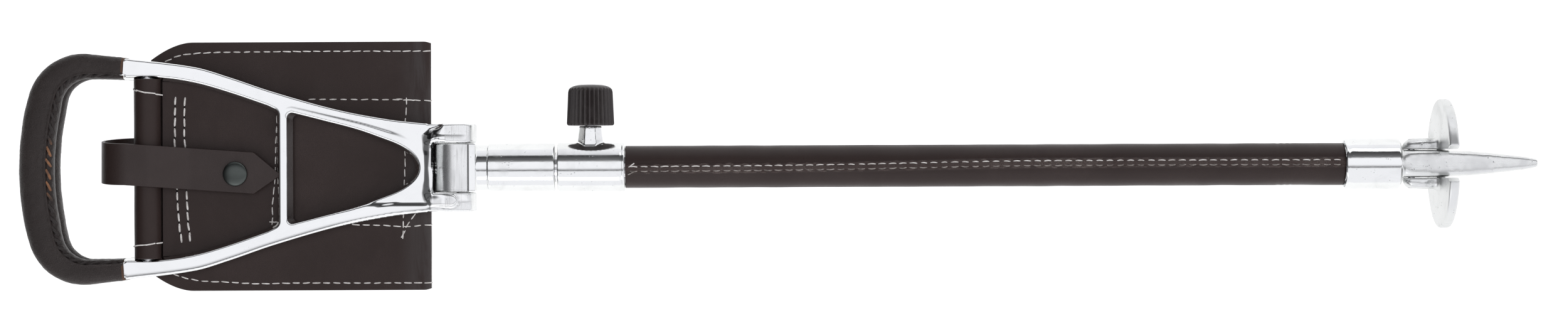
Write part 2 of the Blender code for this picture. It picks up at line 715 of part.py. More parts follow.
def strap_shift(reach, side=1):
    """How far the strap's middle lies off the stick's axis: the strap is fitted askew."""
    slope = (STRAP_BEND_SHIFT - STRAP_TIP_SHIFT) / (STRAP_BEND - STRAP_TIP)
    if side > 0:
        return STRAP_TIP_SHIFT + slope * (reach - STRAP_TIP)
    return STRAP_BEND_SHIFT + slope * (STRAP_BEND - reach) / 3


def strap_line(end_reach, height):
    """The strap's middle line from its end, up over the roll to the bend's middle."""
    top = PIN_HEIGHT + ROLL_CLEAR
    run, drop = STRAP_RISE_BEFORE_ROD, PIN_HEIGHT - height
    rise = math.asin(ROLL_CLEAR / math.hypot(run, drop)) + math.atan2(drop, run)
    climb = STRAP_RISE + (top - height) / math.tan(rise)
    corners = [(-end_reach, height), (-STRAP_RISE, height), (-climb, top), (-STRAP_BEND, top),
               (-STRAP_BEND, GAP / 2)]
    return rounded(corners, [STRAP_RISE_RADIUS, ROLL_CLEAR, top - GAP / 2 - 1e-5], 7)


def make_strap(name, side, end_reach, height, body, pointed):
    """One leg of the strap as a band along its line."""
    line = [Vector(point) for point in strap_line(end_reach, height)]
    if pointed:
        line.insert(1, Vector((-end_reach - STRAP_POINT_LENGTH, height)))
    layers = []
    for index, here in enumerate(line):
        before, after = line[max(index - 1, 0)], line[min(index + 1, len(line) - 1)]
        normal = Vector((before.y - after.y, after.x - before.x)).normalized() * STRAP_THICKNESS / 2
        half = STRAP_WIDTH / 2
        if pointed and index == 0:
            half = STRAP_POINT_WIDTH / 2
        middle = strap_shift(-here.x, side)
        layer = [(here + normal, middle - half), (here + normal, middle + half),
                 (here - normal, middle + half), (here - normal, middle - half)]
        layers.append([(point.x, across, side * point.y) for point, across in layer])
    return add_piece(name, loft(layers), body, dark_leather(f"{name}_leather"))


def make_strap_parts():
    """Strap, press stud and rivets."""
    flap = make_strap("strap_flap", 1, STRAP_TIP, STRAP_HEIGHT, "strap", True)
    snap = (-SNAP_REACH, strap_shift(SNAP_REACH), 0)
    hole = rod(0, 4 * STRAP_HEIGHT, SNAP_SHANK_RADIUS + GAP, snap, "Z", 12)
    combine(flap, "DIFFERENCE", hole, "strap")

    low, high = STRAP_HEIGHT - STRAP_THICKNESS / 2, STRAP_HEIGHT + STRAP_THICKNESS / 2
    cap_base = high + GAP
    dome = arc((0, 0), 1.0, 0, 90, 5)
    profile = [(low, 0), (low, SNAP_SHANK_RADIUS), (cap_base, SNAP_SHANK_RADIUS),
               (cap_base, SNAP_CAP_RADIUS)]
    rise = SNAP_CAP_HEIGHT - SNAP_CAP_RIM
    profile += [(cap_base + SNAP_CAP_RIM + rise * up, SNAP_CAP_RADIUS * out) for out, up in dome]
    cap = turned(profile, snap, "Z", 24)
    add_piece("snap_cap", cap, "strap", make_material("snap_gunmetal", (0.10, 0.11, 0.11), 0.35, 1.0))

    stud_base = PATCH_TOP + GAP
    stud_top = low - 2 * GAP
    neck = stud_base + FLANGE_THICKNESS
    waist = SNAP_POST_RADIUS * 0.8
    profile = [(stud_base, 0), (stud_base, SNAP_BASE_RADIUS), (neck, SNAP_BASE_RADIUS), (neck, waist),
               ((neck + stud_top) / 2, SNAP_POST_RADIUS), (stud_top, waist), (stud_top, 0)]
    steel = plain_steel("snap_steel")
    add_piece("snap_stud", turned(profile, snap, "Z", SMALL_ROUND_STEPS), "front_sling", steel)

    ring = tube(neck + GAP, low - GAP, SNAP_SOCKET_RADIUS, SNAP_POST_RADIUS + GAP, snap, "Z",
                SMALL_ROUND_STEPS)
    add_piece("snap_socket", ring, "strap", steel)

    flange_low = PATCH_TOP - PATCH_THICKNESS
    flange_top = flange_low + FLANGE_THICKNESS
    profile = [(flange_low, 0), (flange_low, SNAP_BASE_RADIUS), (flange_top, SNAP_BASE_RADIUS),
               (flange_top, SNAP_SHANK_RADIUS), (PATCH_TOP, SNAP_SHANK_RADIUS), (PATCH_TOP, 0)]
    add_piece("stud_rivet", turned(profile, snap, "Z", SMALL_ROUND_STEPS), "front_sling", steel)

    back_height = PATCH_TOP + GAP + STRAP_THICKNESS / 2
    back = make_strap("strap_back", -1, STRAP_BACK_END, back_height, "rear_sling", False)
    holes = bmesh.new()
    head_base = back_height + STRAP_THICKNESS / 2 + GAP
    for number, reach in enumerate(STRAP_RIVETS, 1):
        centre = (-reach, strap_shift(reach, -1), 0)
        rod(0, 4 * back_height, STRAP_RIVET_RADIUS + GAP, centre, "Z", 12, bm=holes)
        profile = [(flange_low, 0), (flange_low, STRAP_RIVET_HEAD), (flange_top, STRAP_RIVET_HEAD),
                   (flange_top, STRAP_RIVET_RADIUS), (head_base, STRAP_RIVET_RADIUS),
                   (head_base, STRAP_RIVET_HEAD)]
        for out, up in arc((0, 0), 1.0, 15, 90, 3):
            profile.append((head_base + STRAP_RIVET_HEIGHT * up, STRAP_RIVET_HEAD * out))
        rivet = turned(profile, centre, "Z", 12)
        bmesh.ops.scale(rivet, vec=(1, 1, -1), verts=rivet.verts)
        add_piece(f"strap_rivet_{number}", rivet, "rear_sling", steel)
    bmesh.ops.scale(holes, vec=(1, 1, -1), verts=holes.verts)
    combine(back, "DIFFERENCE", holes, "rear_sling")


def head_rivet_hole():
    """The cross hole for the rivet that holds the inner tube."""
    return rod(-2 * SOCKET_RADIUS, 2 * SOCKET_RADIUS, HEAD_RIVET_RADIUS + GAP, (HEAD_RIVET_AT, 0, 0), "Y")


def make_head():
    """Head block with its socket, the hinge pins, and the inner tube it holds."""
    outline = arc((-BARREL_NOSE_OFFSET, 0), BARREL_HALF_DEPTH, 90, 270, 16)
    end = FLANGE_START + FLANGE_LENGTH / 2
    outline += [(end, -BARREL_HALF_DEPTH), (end, BARREL_HALF_DEPTH)]
    head = add_piece("head_block", slab(outline, -BARREL_HALF_WIDTH, BARREL_HALF_WIDTH), "head",
                     polished("head_metal"))
    neck_start = FLANGE_START + FLANGE_LENGTH
    depth = BARREL_HALF_DEPTH + FLANGE_PROUD
    square = [(-BARREL_HALF_WIDTH + GAP / 2, -depth), (BARREL_HALF_WIDTH - GAP / 2, -depth),
              (BARREL_HALF_WIDTH - GAP / 2, depth), (-BARREL_HALF_WIDTH + GAP / 2, depth)]
    flange = loft([[(x, y, z) for y, z in square] for x in (FLANGE_START, neck_start)])
    combine(head, "UNION", flange, "head")
    start, edge = FLANGE_START + FLANGE_LENGTH / 3, NECK_CHAMFER
    profile = [(start, 0), (start, NECK_RADIUS - edge), (neck_start + edge, NECK_RADIUS),
               (SOCKET_START - edge, NECK_RADIUS), (SOCKET_START, NECK_RADIUS - edge),
               (SOCKET_START + edge, SOCKET_RADIUS), (SOCKET_END - edge, SOCKET_RADIUS),
               (SOCKET_END, SOCKET_RADIUS - edge), (SOCKET_END, 0)]
    combine(head, "UNION", turned(profile), "head")
    bores = rod(SOCKET_FLOOR, SOCKET_END + SOCKET_LENGTH, BORE_RADIUS, steps=ROUND_STEPS)
    for height in (PIN_HEIGHT, -PIN_HEIGHT):
        rod(-2 * LUG_OUTER, 2 * LUG_OUTER, HINGE_PIN_RADIUS + GAP, (0, 0, height), "Y", bm=bores)
    combine(head, "DIFFERENCE", bores, "head")
    combine(head, "DIFFERENCE", head_rivet_hole(), "head")

    steel = plain_steel("pin_steel")
    for prefix, height in (("front", PIN_HEIGHT), ("rear", -PIN_HEIGHT)):
        pin = rod(-LUG_OUTER + GAP, LUG_OUTER - GAP, HINGE_PIN_RADIUS, (0, 0, height), "Y", edge=PIN_EDGE)
        add_piece(f"{prefix}_hinge_pin", pin, "head", steel)
    rivet = rod(-SOCKET_RADIUS + GAP, SOCKET_RADIUS - GAP, HEAD_RIVET_RADIUS, (HEAD_RIVET_AT, 0, 0), "Y",
                edge=PIN_EDGE)
    add_piece("head_rivet", rivet, "head", polished("head_rivet_metal"))

    inner = INNER_TUBE_RADIUS - INNER_TUBE_WALL
    sleeve = tube(INNER_TUBE_START, INNER_TUBE_END, INNER_TUBE_RADIUS, inner)
    sliding = add_piece("inner_tube", sleeve, "head", polished("inner_tube_metal"))
    flat_floor = INNER_TUBE_RADIUS - FLAT_DEPTH
    flat_start, flat_end = KNOB_AT - 2 * PAD_RADIUS, GUIDE_RING_START - 4 * GAP
    beyond = 2 * INNER_TUBE_RADIUS
    flat = [(flat_start, flat_floor), (flat_end, flat_floor), (flat_end, beyond), (flat_start, beyond)]
    milled = plate(flat, -INNER_TUBE_RADIUS, INNER_TUBE_RADIUS)
    combine(sliding, "DIFFERENCE", milled, "head")
    combine(sliding, "DIFFERENCE", head_rivet_hole(), "head")

    outer_bore = OUTER_TUBE_RADIUS - OUTER_TUBE_WALL
    plastic = make_material("guide_plastic", (0.75, 0.75, 0.72), 0.5)
    ring = tube(GUIDE_RING_START, GUIDE_RING_START + GUIDE_RING_LENGTH, outer_bore - SLIDE_GAP,
                INNER_TUBE_RADIUS + GAP)
    add_piece("guide_ring", ring, "head", plastic)
    end = INNER_TUBE_END + GAP
    profile = [(end - PLUG_LENGTH, 0), (end - PLUG_LENGTH, inner - GAP), (end, inner - GAP),
               (end, INNER_TUBE_RADIUS), (end + PLUG_FLANGE, INNER_TUBE_RADIUS), (end + PLUG_FLANGE, 0)]
    add_piece("inner_tube_plug", turned(profile), "head", plastic)


def make_collar():
    """Clamp collar, its guide bush, the pad, the screw and the knob."""
    profile = [(COLLAR_START, 0), (COLLAR_START, COLLAR_RADIUS - COLLAR_EDGE),
               (COLLAR_START + COLLAR_EDGE, COLLAR_RADIUS), (COLLAR_END, COLLAR_RADIUS), (COLLAR_END, 0)]
    collar = add_piece("clamp_collar", turned(profile), "shaft", polished("collar_metal"))
    base = COLLAR_RADIUS * 0.6
    shape = [(base, BOSS_BASE_RADIUS + BOSS_FLARE), (COLLAR_RADIUS + BOSS_STEP, BOSS_BASE_RADIUS),
             (BOSS_TOP - COLLAR_EDGE, BOSS_TOP_RADIUS), (BOSS_TOP, BOSS_TOP_RADIUS - COLLAR_EDGE)]
    boss = turned([(base, 0)] + shape + [(BOSS_TOP, 0)], (KNOB_AT, 0, 0), "Y", BOSS_FLATS)
    combine(collar, "UNION", boss, "shaft")
    bush_bore = BORE_RADIUS + BUSH_WALL + GAP
    bush_end = COLLAR_START + BUSH_LENGTH
    shoulder = COLLAR_START + COLLAR_SHOULDER
    tube_bore = OUTER_TUBE_RADIUS + GAP
    front, back = COLLAR_START - BUSH_LENGTH, COLLAR_END + BUSH_LENGTH
    profile = [(front, 0), (front, bush_bore), (bush_end, bush_bore), (bush_end, BORE_RADIUS),
               (shoulder, BORE_RADIUS), (shoulder, tube_bore), (back, tube_bore), (back, 0)]
    combine(collar, "DIFFERENCE", turned(profile), "shaft")
    thread_bore = rod(0, 2 * BOSS_TOP, SCREW_RADIUS + GAP, (KNOB_AT, 0, 0), "Y")
    combine(collar, "DIFFERENCE", thread_bore, "shaft")

    bush = tube(COLLAR_START, bush_end - GAP, BORE_RADIUS + BUSH_WALL, BORE_RADIUS)
    add_piece("collar_bush", bush, "shaft", make_material("bush_plastic", (0.05, 0.05, 0.05), 0.5))

    pad_low = INNER_TUBE_RADIUS - FLAT_DEPTH + GAP
    pad_top = pad_low + PAD_THICKNESS
    pad = rod(pad_low, pad_top, PAD_RADIUS, (KNOB_AT, 0, 0), "Y", edge=PIN_EDGE)
    add_piece("clamp_pad", pad, "clamp_knob_turn", make_material("pad_plastic", (0.8, 0.8, 0.78), 0.5))
    screw_top = BOSS_TOP + GAP + SCREW_GRIP
    screw = rod(pad_top + GAP, screw_top, SCREW_RADIUS, (KNOB_AT, 0, 0), "Y", edge=PIN_EDGE)
    add_piece("clamp_screw", screw, "clamp_knob_turn", plain_steel("screw_steel"))

    low, high = BOSS_TOP + GAP, BOSS_TOP + GAP + KNOB_HEIGHT
    shoulder = high - KNOB_DOME
    levels = [(low, KNOB_BASE_RADIUS - KNOB_FOOT_CHAMFER, 0.3), (low + KNOB_FOOT, KNOB_BASE_RADIUS, 1.0),
              (shoulder, KNOB_TOP_RADIUS, 1.0), (shoulder + KNOB_DOME * 0.45, KNOB_TOP_RADIUS * 0.88, 0.3),
              (shoulder + KNOB_DOME * 0.8, KNOB_TOP_RADIUS * 0.62, 0.0),
              (high, KNOB_TOP_RADIUS * 0.25, 0.0)]
    count = KNOB_FLUTES * 2
    layers = []
    for height, radius, flute in levels:
        layer = []
        for step in range(count):
            angle = 2 * math.pi * step / count
            reach = radius - (KNOB_FLUTE_DEPTH * flute if step % 2 else 0.0)
            layer.append((KNOB_AT + reach * math.cos(angle), height, reach * math.sin(angle)))
        layers.append(layer)
    knob = add_piece("clamp_knob", loft(layers), "clamp_knob_turn",
                     make_material("knob_plastic", (0.030, 0.026, 0.025), 0.45))
    socket = rod(low - SCREW_GRIP, screw_top + GAP, SCREW_RADIUS + GAP, (KNOB_AT, 0, 0), "Y")
    combine(knob, "DIFFERENCE", socket, "clamp_knob_turn")


def make_shaft():
    """Outer tube, the leather sewn round it, the ferrule and the spike."""
    bore = OUTER_TUBE_RADIUS - OUTER_TUBE_WALL
    rivet_at = FERRULE_START + FERRULE_RIVET_AT
    pipe = add_piece("outer_tube", tube(TUBE_START, TUBE_END, OUTER_TUBE_RADIUS, bore), "shaft",
                     polished("outer_tube_metal"))
    through = 2 * FERRULE_RADIUS
    hole = rod(-through, through, FERRULE_RIVET_RADIUS + GAP, (rivet_at, 0, 0), "Z")
    combine(pipe, "DIFFERENCE", hole, "shaft")

    inner = OUTER_TUBE_RADIUS + GAP
    outer = inner + LEATHER_WALL
    steps = 28
    layers, lining = [], []
    for step in range(6):
        part = step / 5
        x = LEATHER_START + (LEATHER_END - LEATHER_START) * part
        seam = math.radians(SEAM_START_ANGLE + (SEAM_END_ANGLE - SEAM_START_ANGLE) * part)
        skin = []
        for index in range(steps):
            angle = seam + 2 * math.pi * index / steps
            radius = outer + (SEAM_RIB if index == 0 else 0.0)
            skin.append((x, radius * math.cos(angle), radius * math.sin(angle)))
        layers.append(skin)
        lining.append([(x, inner * y / math.hypot(y, z), inner * z / math.hypot(y, z)) for _, y, z in skin])
    add_piece("tube_leather", loft(layers + lining[::-1], closed=True), "shaft",
              dark_leather("tube_leather_skin"))

    round_off = FERRULE_EDGE * 0.3
    profile = [(FERRULE_START, 0), (FERRULE_START, FERRULE_RADIUS - FERRULE_LIP),
               (FERRULE_START + FERRULE_EDGE, FERRULE_RADIUS), (FERRULE_END - FERRULE_EDGE, FERRULE_RADIUS),
               (FERRULE_END - round_off, FERRULE_RADIUS - round_off),
               (FERRULE_END, FERRULE_RADIUS - FERRULE_EDGE), (FERRULE_END, 0)]
    ferrule = add_piece("ferrule", turned(profile), "shaft", polished("ferrule_metal"))
    mouth = outer + SEAM_RIB + GAP
    front, back = FERRULE_START - FERRULE_LENGTH, FERRULE_END + FERRULE_LENGTH
    lip = FERRULE_START + FERRULE_MOUTH
    profile = [(front, 0), (front, mouth), (lip, mouth), (lip + mouth - inner, inner),
               (TUBE_END + GAP, inner), (TUBE_END + GAP, TANG_RADIUS + GAP),
               (back, TANG_RADIUS + GAP), (back, 0)]
    combine(ferrule, "DIFFERENCE", turned(profile), "shaft")
    hole = rod(-through, through, FERRULE_RIVET_RADIUS + GAP, (rivet_at, 0, 0), "Z")
    combine(ferrule, "DIFFERENCE", hole, "shaft")
    end = FERRULE_RADIUS - GAP
    rivet = rod(-end, end, FERRULE_RIVET_RADIUS, (rivet_at, 0, 0), "Z", edge=PIN_EDGE)
    add_piece("ferrule_rivet", rivet, "shaft", polished("rivet_metal"))

    make_spike(rivet_at)


def make_spike(rivet_at):
    """Forged spike: a round tang, a rounded square bar, and a ridged taper to the tip."""
    layers = []
    sections = [(SPIKE_START - TANG_LENGTH, TANG_RADIUS, 2.0), (SPIKE_START, TANG_RADIUS, 2.0),
                (SPIKE_START, SPIKE_ROOT_RADIUS, 2.0),
                (SPIKE_START + SPIKE_ROOT_FLARE, SPIKE_HALF_WIDTH, 2.2)]
    full = SPIKE_WIDTHS[-1][0]
    for along, width in SPIKE_WIDTHS:
        power = 3.4 - 1.6 * min(along / full / 0.6, 1.0)
        along *= (SPIKE_LENGTH - SPIKE_SHOULDER) / full
        sections.append((SPIKE_START + SPIKE_SHOULDER + along, width / 2, power))
    for x, radius, power in sections:
        layers.append([(x, y, z) for y, z in oval(radius, radius, power, 24)])
    spike = add_piece("spike", loft(layers), "shaft",
                      make_material("spike_steel", (0.80, 0.81, 0.82), 0.2, 1.0))
    through = 2 * FERRULE_RADIUS
    holes = rod(-through, through, FERRULE_RIVET_RADIUS + GAP, (rivet_at, 0, 0), "Z")
    rod(-through, through, PIVOT_PIN_RADIUS + GAP, (PIVOT_AT, 0, 0), "Y", bm=holes)
    combine(spike, "DIFFERENCE", holes, "shaft")
    reach = SPIKE_HALF_WIDTH + EAR_THICKNESS
    pin = rod(-reach, reach, PIVOT_PIN_RADIUS, (PIVOT_AT, 0, 0), "Y", edge=PIN_EDGE)
    add_piece("plate_pivot_pin", pin, "shaft", plain_steel("pivot_steel"))


def make_ground_plate():
    """Round plate with a slot for the spike and two ears on the pivot pin."""
    face = PIVOT_AT + PLATE_FROM_PIVOT
    back = face + PLATE_THICKNESS
    edge = PLATE_EDGE
    profile = [(face, 0), (face, PLATE_RADIUS - edge), (face + edge, PLATE_RADIUS),
               (back - edge, PLATE_RADIUS), (back, PLATE_RADIUS - edge), (back, 0)]
    disc = add_piece("ground_plate", turned(profile, steps=48), "ground_plate_fold",
                     polished("plate_metal"))
    slot_half = SPIKE_HALF_WIDTH + GAP
    ears = bmesh.new()
    inside, spread = face + PLATE_THICKNESS / 2, EAR_RADIUS + EAR_ROOT * 0.8
    outline = [(inside, -EAR_RADIUS - EAR_ROOT), (inside, EAR_RADIUS + EAR_ROOT),
               (face - EAR_ROOT / 4, spread), (face - EAR_ROOT, EAR_RADIUS)]
    outline += arc((PIVOT_AT, 0), EAR_RADIUS, 90, 270, 12)
    outline += [(face - EAR_ROOT, -EAR_RADIUS), (face - EAR_ROOT / 4, -spread)]
    outer = slot_half + EAR_THICKNESS
    for hand in (1, -1):
        layers = []
        for across, depth in ((slot_half - EAR_OVERLAP, 0), (outer - edge, 0), (outer, edge)):
            layers.append([(x, hand * across, z) for x, z in inset(outline, depth)])
        loft(layers, ears)
    combine(disc, "UNION", ears, "ground_plate_fold")
    flare = PLATE_SLOT_FLARE
    mouth = PLATE_RADIUS - 2 * flare
    corners = [(-slot_half, mouth), (-slot_half, -slot_half), (slot_half, -slot_half), (slot_half, mouth)]
    slot = rounded(corners, [PLATE_SLOT_CORNER] * 2, 4)
    slot += [(slot_half + flare, PLATE_RADIUS + flare), (-slot_half - flare, PLATE_RADIUS + flare)]
    cut = loft([[(x, y, z) for y, z in slot] for x in (PIVOT_AT - 2 * EAR_RADIUS, back + PLATE_THICKNESS)])
    combine(disc, "DIFFERENCE", cut, "ground_plate_fold")
    holes = rod(-PLATE_RADIUS, PLATE_RADIUS, PIVOT_PIN_RADIUS + GAP, (PIVOT_AT, 0, 0), "Y")
    combine(disc, "DIFFERENCE", holes, "ground_plate_fold")


def make_bodies():
    """One empty on each joint's axis, in the tree that the joints form."""
    add_body("seat_stick", (CENTRE_X, 0, PLATE_RADIUS))
    add_body("shaft", (0, 0, 0), "seat_stick")
    add_body("head", (0, 0, 0), "shaft")
    add_body("clamp_knob_turn", (KNOB_AT, 0, 0), "shaft")
    add_body("ground_plate_fold", (PIVOT_AT, 0, 0), "shaft")
    for prefix, side in (("front", 1), ("rear", -1)):
        add_body(f"{prefix}_handle", (0, 0, side * PIN_HEIGHT), "head")
        add_body(f"{prefix}_sling", (-ROD_REACH, 0, side * PIN_HEIGHT), f"{prefix}_handle")
    add_body("strap", (-STRAP_BEND, 0, 0), "rear_sling")


def build():
    """Model the whole stick."""
    clear_scene()
    make_bodies()
    make_shaft()
    make_ground_plate()
    make_collar()
    make_head()
    for prefix, side in (("front", 1), ("rear", -1)):
        make_frame(side, f"{prefix}_handle")
        make_grip(side, f"{prefix}_handle")
        make_seat_rod(side, f"{prefix}_handle")
        make_seat_panel(side, f"{prefix}_sling")
        make_patch(side, f"{prefix}_sling")
    make_seat_fold("front_sling")
    make_strap_parts()


build()
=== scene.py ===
"""Seat stick: polished castings, sewn leather and bright tube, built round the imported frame."""

import json
import math
from functools import partial

import bmesh
import bpy
import numpy as np
from mathutils import Matrix, Vector


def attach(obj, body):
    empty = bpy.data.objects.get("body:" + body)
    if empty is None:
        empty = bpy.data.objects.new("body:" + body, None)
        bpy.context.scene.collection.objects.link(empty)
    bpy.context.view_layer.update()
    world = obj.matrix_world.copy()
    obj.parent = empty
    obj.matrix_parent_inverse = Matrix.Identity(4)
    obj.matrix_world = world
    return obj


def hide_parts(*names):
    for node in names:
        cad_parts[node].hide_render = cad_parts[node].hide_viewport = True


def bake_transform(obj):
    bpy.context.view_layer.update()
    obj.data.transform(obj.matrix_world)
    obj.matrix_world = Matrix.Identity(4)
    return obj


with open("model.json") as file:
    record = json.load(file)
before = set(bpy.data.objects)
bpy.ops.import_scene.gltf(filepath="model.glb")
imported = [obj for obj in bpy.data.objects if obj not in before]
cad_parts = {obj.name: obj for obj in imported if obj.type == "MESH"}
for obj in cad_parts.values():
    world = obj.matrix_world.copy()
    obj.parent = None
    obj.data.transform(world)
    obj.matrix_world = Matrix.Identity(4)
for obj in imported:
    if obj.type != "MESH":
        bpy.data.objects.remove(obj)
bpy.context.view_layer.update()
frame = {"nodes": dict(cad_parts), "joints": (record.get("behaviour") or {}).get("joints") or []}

bl_info = {
    "name": "Seat Stick",
    "version": (1, 0, 0),
    "blender": (4, 5, 0),
    "location": "View3D > Sidebar > Seat Stick",
    "description": "Finished pieces of a leather sling seat stick",
    "category": "Add Mesh",
}

# Places that the frame's joints give; a station is a place along the stick from the hinge pins
JOINTS = {joint["name"]: joint for joint in frame["joints"]}
PIN_X = JOINTS["front_handle_hinge"]["pos_m"][0]
AXIS_Z = JOINTS["strap_hinge"]["pos_m"][2]
PIN_HEIGHT = JOINTS["front_handle_hinge"]["pos_m"][2] - AXIS_Z
ROD_REACH = PIN_X - JOINTS["front_sling_hinge"]["pos_m"][0]
STRAP_BEND = PIN_X - JOINTS["strap_hinge"]["pos_m"][0]
KNOB_AT = JOINTS["knob_turn"]["pos_m"][0] - PIN_X
PIVOT_AT = JOINTS["plate_fold"]["pos_m"][0] - PIN_X

# The photograph's frame and its scale at the stick's axis
PHOTO_WIDTH = 2500
PHOTO_SCALE = 0.000356
PHOTO_DISTANCE = 2.030
PHOTO_AXIS = (150, 268.8)
PHOTO_SLOPE = 8.8 / 2035
PHOTO_CENTRE = (0.00225, 0.00016)

# Handle frame, as packed: reaches from the pins and half widths
HANDLE_REACH = 0.2494
FRAME_THICKNESS = 0.0074
LEG_OUTER = ((0.019, 0.0251), (0.040, 0.0275), (0.070, 0.0333), (0.106, 0.0435),
             (0.1305, 0.0518), (0.150, 0.0575), (0.189, 0.0624))
LEG_INNER = ((0.1039, 0.0334), (0.1305, 0.0426), (0.150, 0.0482), (0.1695, 0.0511), (0.189, 0.0514))
TRIANGLE_EDGE = ((0.0407, 0.0156), (0.0578, 0.0217), (0.078, 0.0271), (0.0984, 0.0324))
TRIANGLE_END = 0.023
BRACE_REACH = 0.1028
BRACE_WIDTH = 0.0044
WEB_START = 0.0156
LUG_INNER = 0.0142
LUG_OUTER = 0.0247
LUG_RADIUS = 0.0077
LUG_REACH = 0.030
LEG_INNER_AT_ROD = 0.0511
SPIGOT_BORE = 0.0028
SPIGOT_DEPTH = 0.0058
GRIP_START = 0.1904
GRIP_WIDTH = 0.0196
GRIP_DEPTH = 0.0154
GRIP_END_WIDTH = 0.0126
GRIP_END_DEPTH = 0.0108
GRIP_SEAM = math.radians(54)
GRIP_PITCH = 0.0068
GRIP_SQUARENESS = 2.5
GRIP_CLEAR = 0.0003
BAR_WIDTH = 0.0094
BAR_ARC_RADIUS = 0.160
BAR_CORNER_RADIUS = 0.024
ARM_HALF_SPAN = 0.0582
HINGE_BORE = 0.0028
FRAME_VOXEL = 0.0006
FRAME_CROWN = 0.00035
CROWN_WIDTH = 0.0030
GRIP_DRAFT = 0.0026
TRIANGLE_DRAFT = 0.0036
OUTER_ROUND = 0.0011
GRIP_ROUND = 0.0006
TRIANGLE_ROUND = 0.0009
LUG_ROUND = 0.0010
BORE_ROUND = 0.0003
SPIGOT_BOSS = 0.0034

# How the frame's outer face rises: (places, levels) of each curve
LEG_RISE = ((0.026, 0.040, 0.060, 0.095, 0.102), (0, 0.0003, 0.00022, 0.00012, 0))
LEG_RISE_START = ((0.030, 0.060, 0.095), (0.0040, 0.0030, 0.0026))
LEG_RISE_WIDTH = ((0.030, 0.060, 0.095), (0.0024, 0.0013, 0.0008))
WEB_LEFT = ((0, 0.007, 0.0104, 0.0155, 0.0185), (-0.0207, -0.0210, -0.0219, -0.0228, -0.0232))
WEB_RIGHT = ((0, 0.010, 0.0135, 0.0185), (-0.0176, -0.0167, -0.0156, -0.0130))
WEB_RISE = ((0, 0.010, 0.0145, 0.0190), (0.0011, 0.0018, 0.0016, 0.0))
LUG_RISE_START = ((0.0125, 0.0145, 0.0187, 0.0215, 0.0234), (-0.0205, -0.0215, -0.0233, -0.0190, -0.0125))
LUG_RISE_END = ((0.0125, 0.0139, 0.0155, 0.0187, 0.0234), (-0.0150, -0.0145, -0.0122, -0.0100, -0.0092))
UPPER_LUG_RISE = 0.0036
LOWER_LUG_RISE = 0.0019
LOWER_LEG_RISE = 0.0011

# Leather
SHEET_GAP = 0.0003
SHEET_THICKNESS = 0.0018
SHEET_HALF_WIDTH = 0.0704
SHEET_FOLD = 0.0174
SHEET_SHOULDER = 0.0245
SHEET_SHOULDER_RISE = 0.0108
ROLL_RADIUS = 0.0075
ROLL_HALF_WIDTH = 0.0508
PATCH_LOW = 0.0024
PATCH_THICKNESS = 0.0016
PATCH_HALF_WIDTH = 0.0495
PATCH_REACHES = (0.1693, 0.0999)
STRAP_WIDTH = 0.0235
STRAP_THICKNESS = 0.0017
STRAP_HEIGHT = 0.00775
STRAP_TIP = 0.1029
STRAP_BACK_END = 0.130
STRAP_POINT = 0.0142
STRAP_SHIFTS = (-0.0036, 0.0027, 0.0060)
SNAP_REACH = 0.1275
SNAP_SHIFT = -0.0030

# The shaft's seam: its angle from +Y towards +Z along the leather
SEAM_AT = (0, 0.19, 0.30, 0.40, 0.46, 0.56, 0.77, 1)
SEAM_TURN = (95.8, 94.2, 92.2, 89.0, 86.8, 84.4, 84.2, 85.2)
SEAM_HALF = 0.00133
SHAFT_RADIUS = 0.0119
SHAFT_PITCH = 0.0058
HEAVY_PITCH = 0.0057

# Shaft stations, the bores round the two tubes and the castings' mesh size
FLANGE_START = 0.00465
NECK_START = 0.0086
SOCKET_START = 0.015
SOCKET_END = 0.0531
COLLAR_START = 0.0545
COLLAR_END = 0.0926
LEATHER_START = 0.0929
LEATHER_END = 0.5000
FERRULE_START = 0.5003
FERRULE_END = 0.5319
SPIKE_START = 0.5322
OUTER_TUBE_BORE = 0.0103
INNER_TUBE_BORE = 0.0083
CAST_VOXEL = 0.00045

# Head, collar, knob, ferrule and ground plate
HEAD_PROUD = 0.0056
BARREL_NOSE = 0.0023
BARREL_END = 0.0066
BARREL_HALF_WIDTH = 0.0139
FLANGE_HALF_WIDTH = 0.01375
NECK_RADIUS = 0.0130
SOCKET_RADIUS = 0.01365
SOCKET_FLOOR = 0.0201
COLLAR_RADIUS = 0.01405
COLLAR_GROOVE = (0.01375, 0.0022, 0.0016)
COLLAR_BOSS = ((0.0084, 0.0156, 0.0225), (0.0085, 0.0078, 0.0068))
BOSS_REACHES = (0.006, 0.0233)
SCREW_BORE = 0.0043
KNOB_REACHES = (0.0236, 0.0468)
KNOB_RADIUS = 0.0135
KNOB_TOP_RADIUS = 0.0126
FLUTE_DEPTH = 0.0014
FERRULE_RADIUS = 0.0146
FERRULE_EDGE = 0.0018
PLATE_RADIUS = 0.0365
PLATE_AT = 0.0152
PLATE_THICKNESS = 0.006
SLOT_HALF = 0.00805
EAR_RADIUS = 0.0052
EAR_WIDTH = 0.0063
EAR_BOW = 0.0014
PIVOT_BORE = 0.0023

# The handles reach this far under the stick when they are open
FLOOR_DROP = 0.20

FINISH, EFFECTS, FRAME_SHAPES = {}, {}, {}


# Curves

def arc(centre, radius, start, end, steps):
    """Points of a circular arc, its angles in degrees."""
    angles = np.radians(np.linspace(start, end, steps + 1))
    return [(centre[0] + radius * math.cos(a), centre[1] + radius * math.sin(a)) for a in angles]


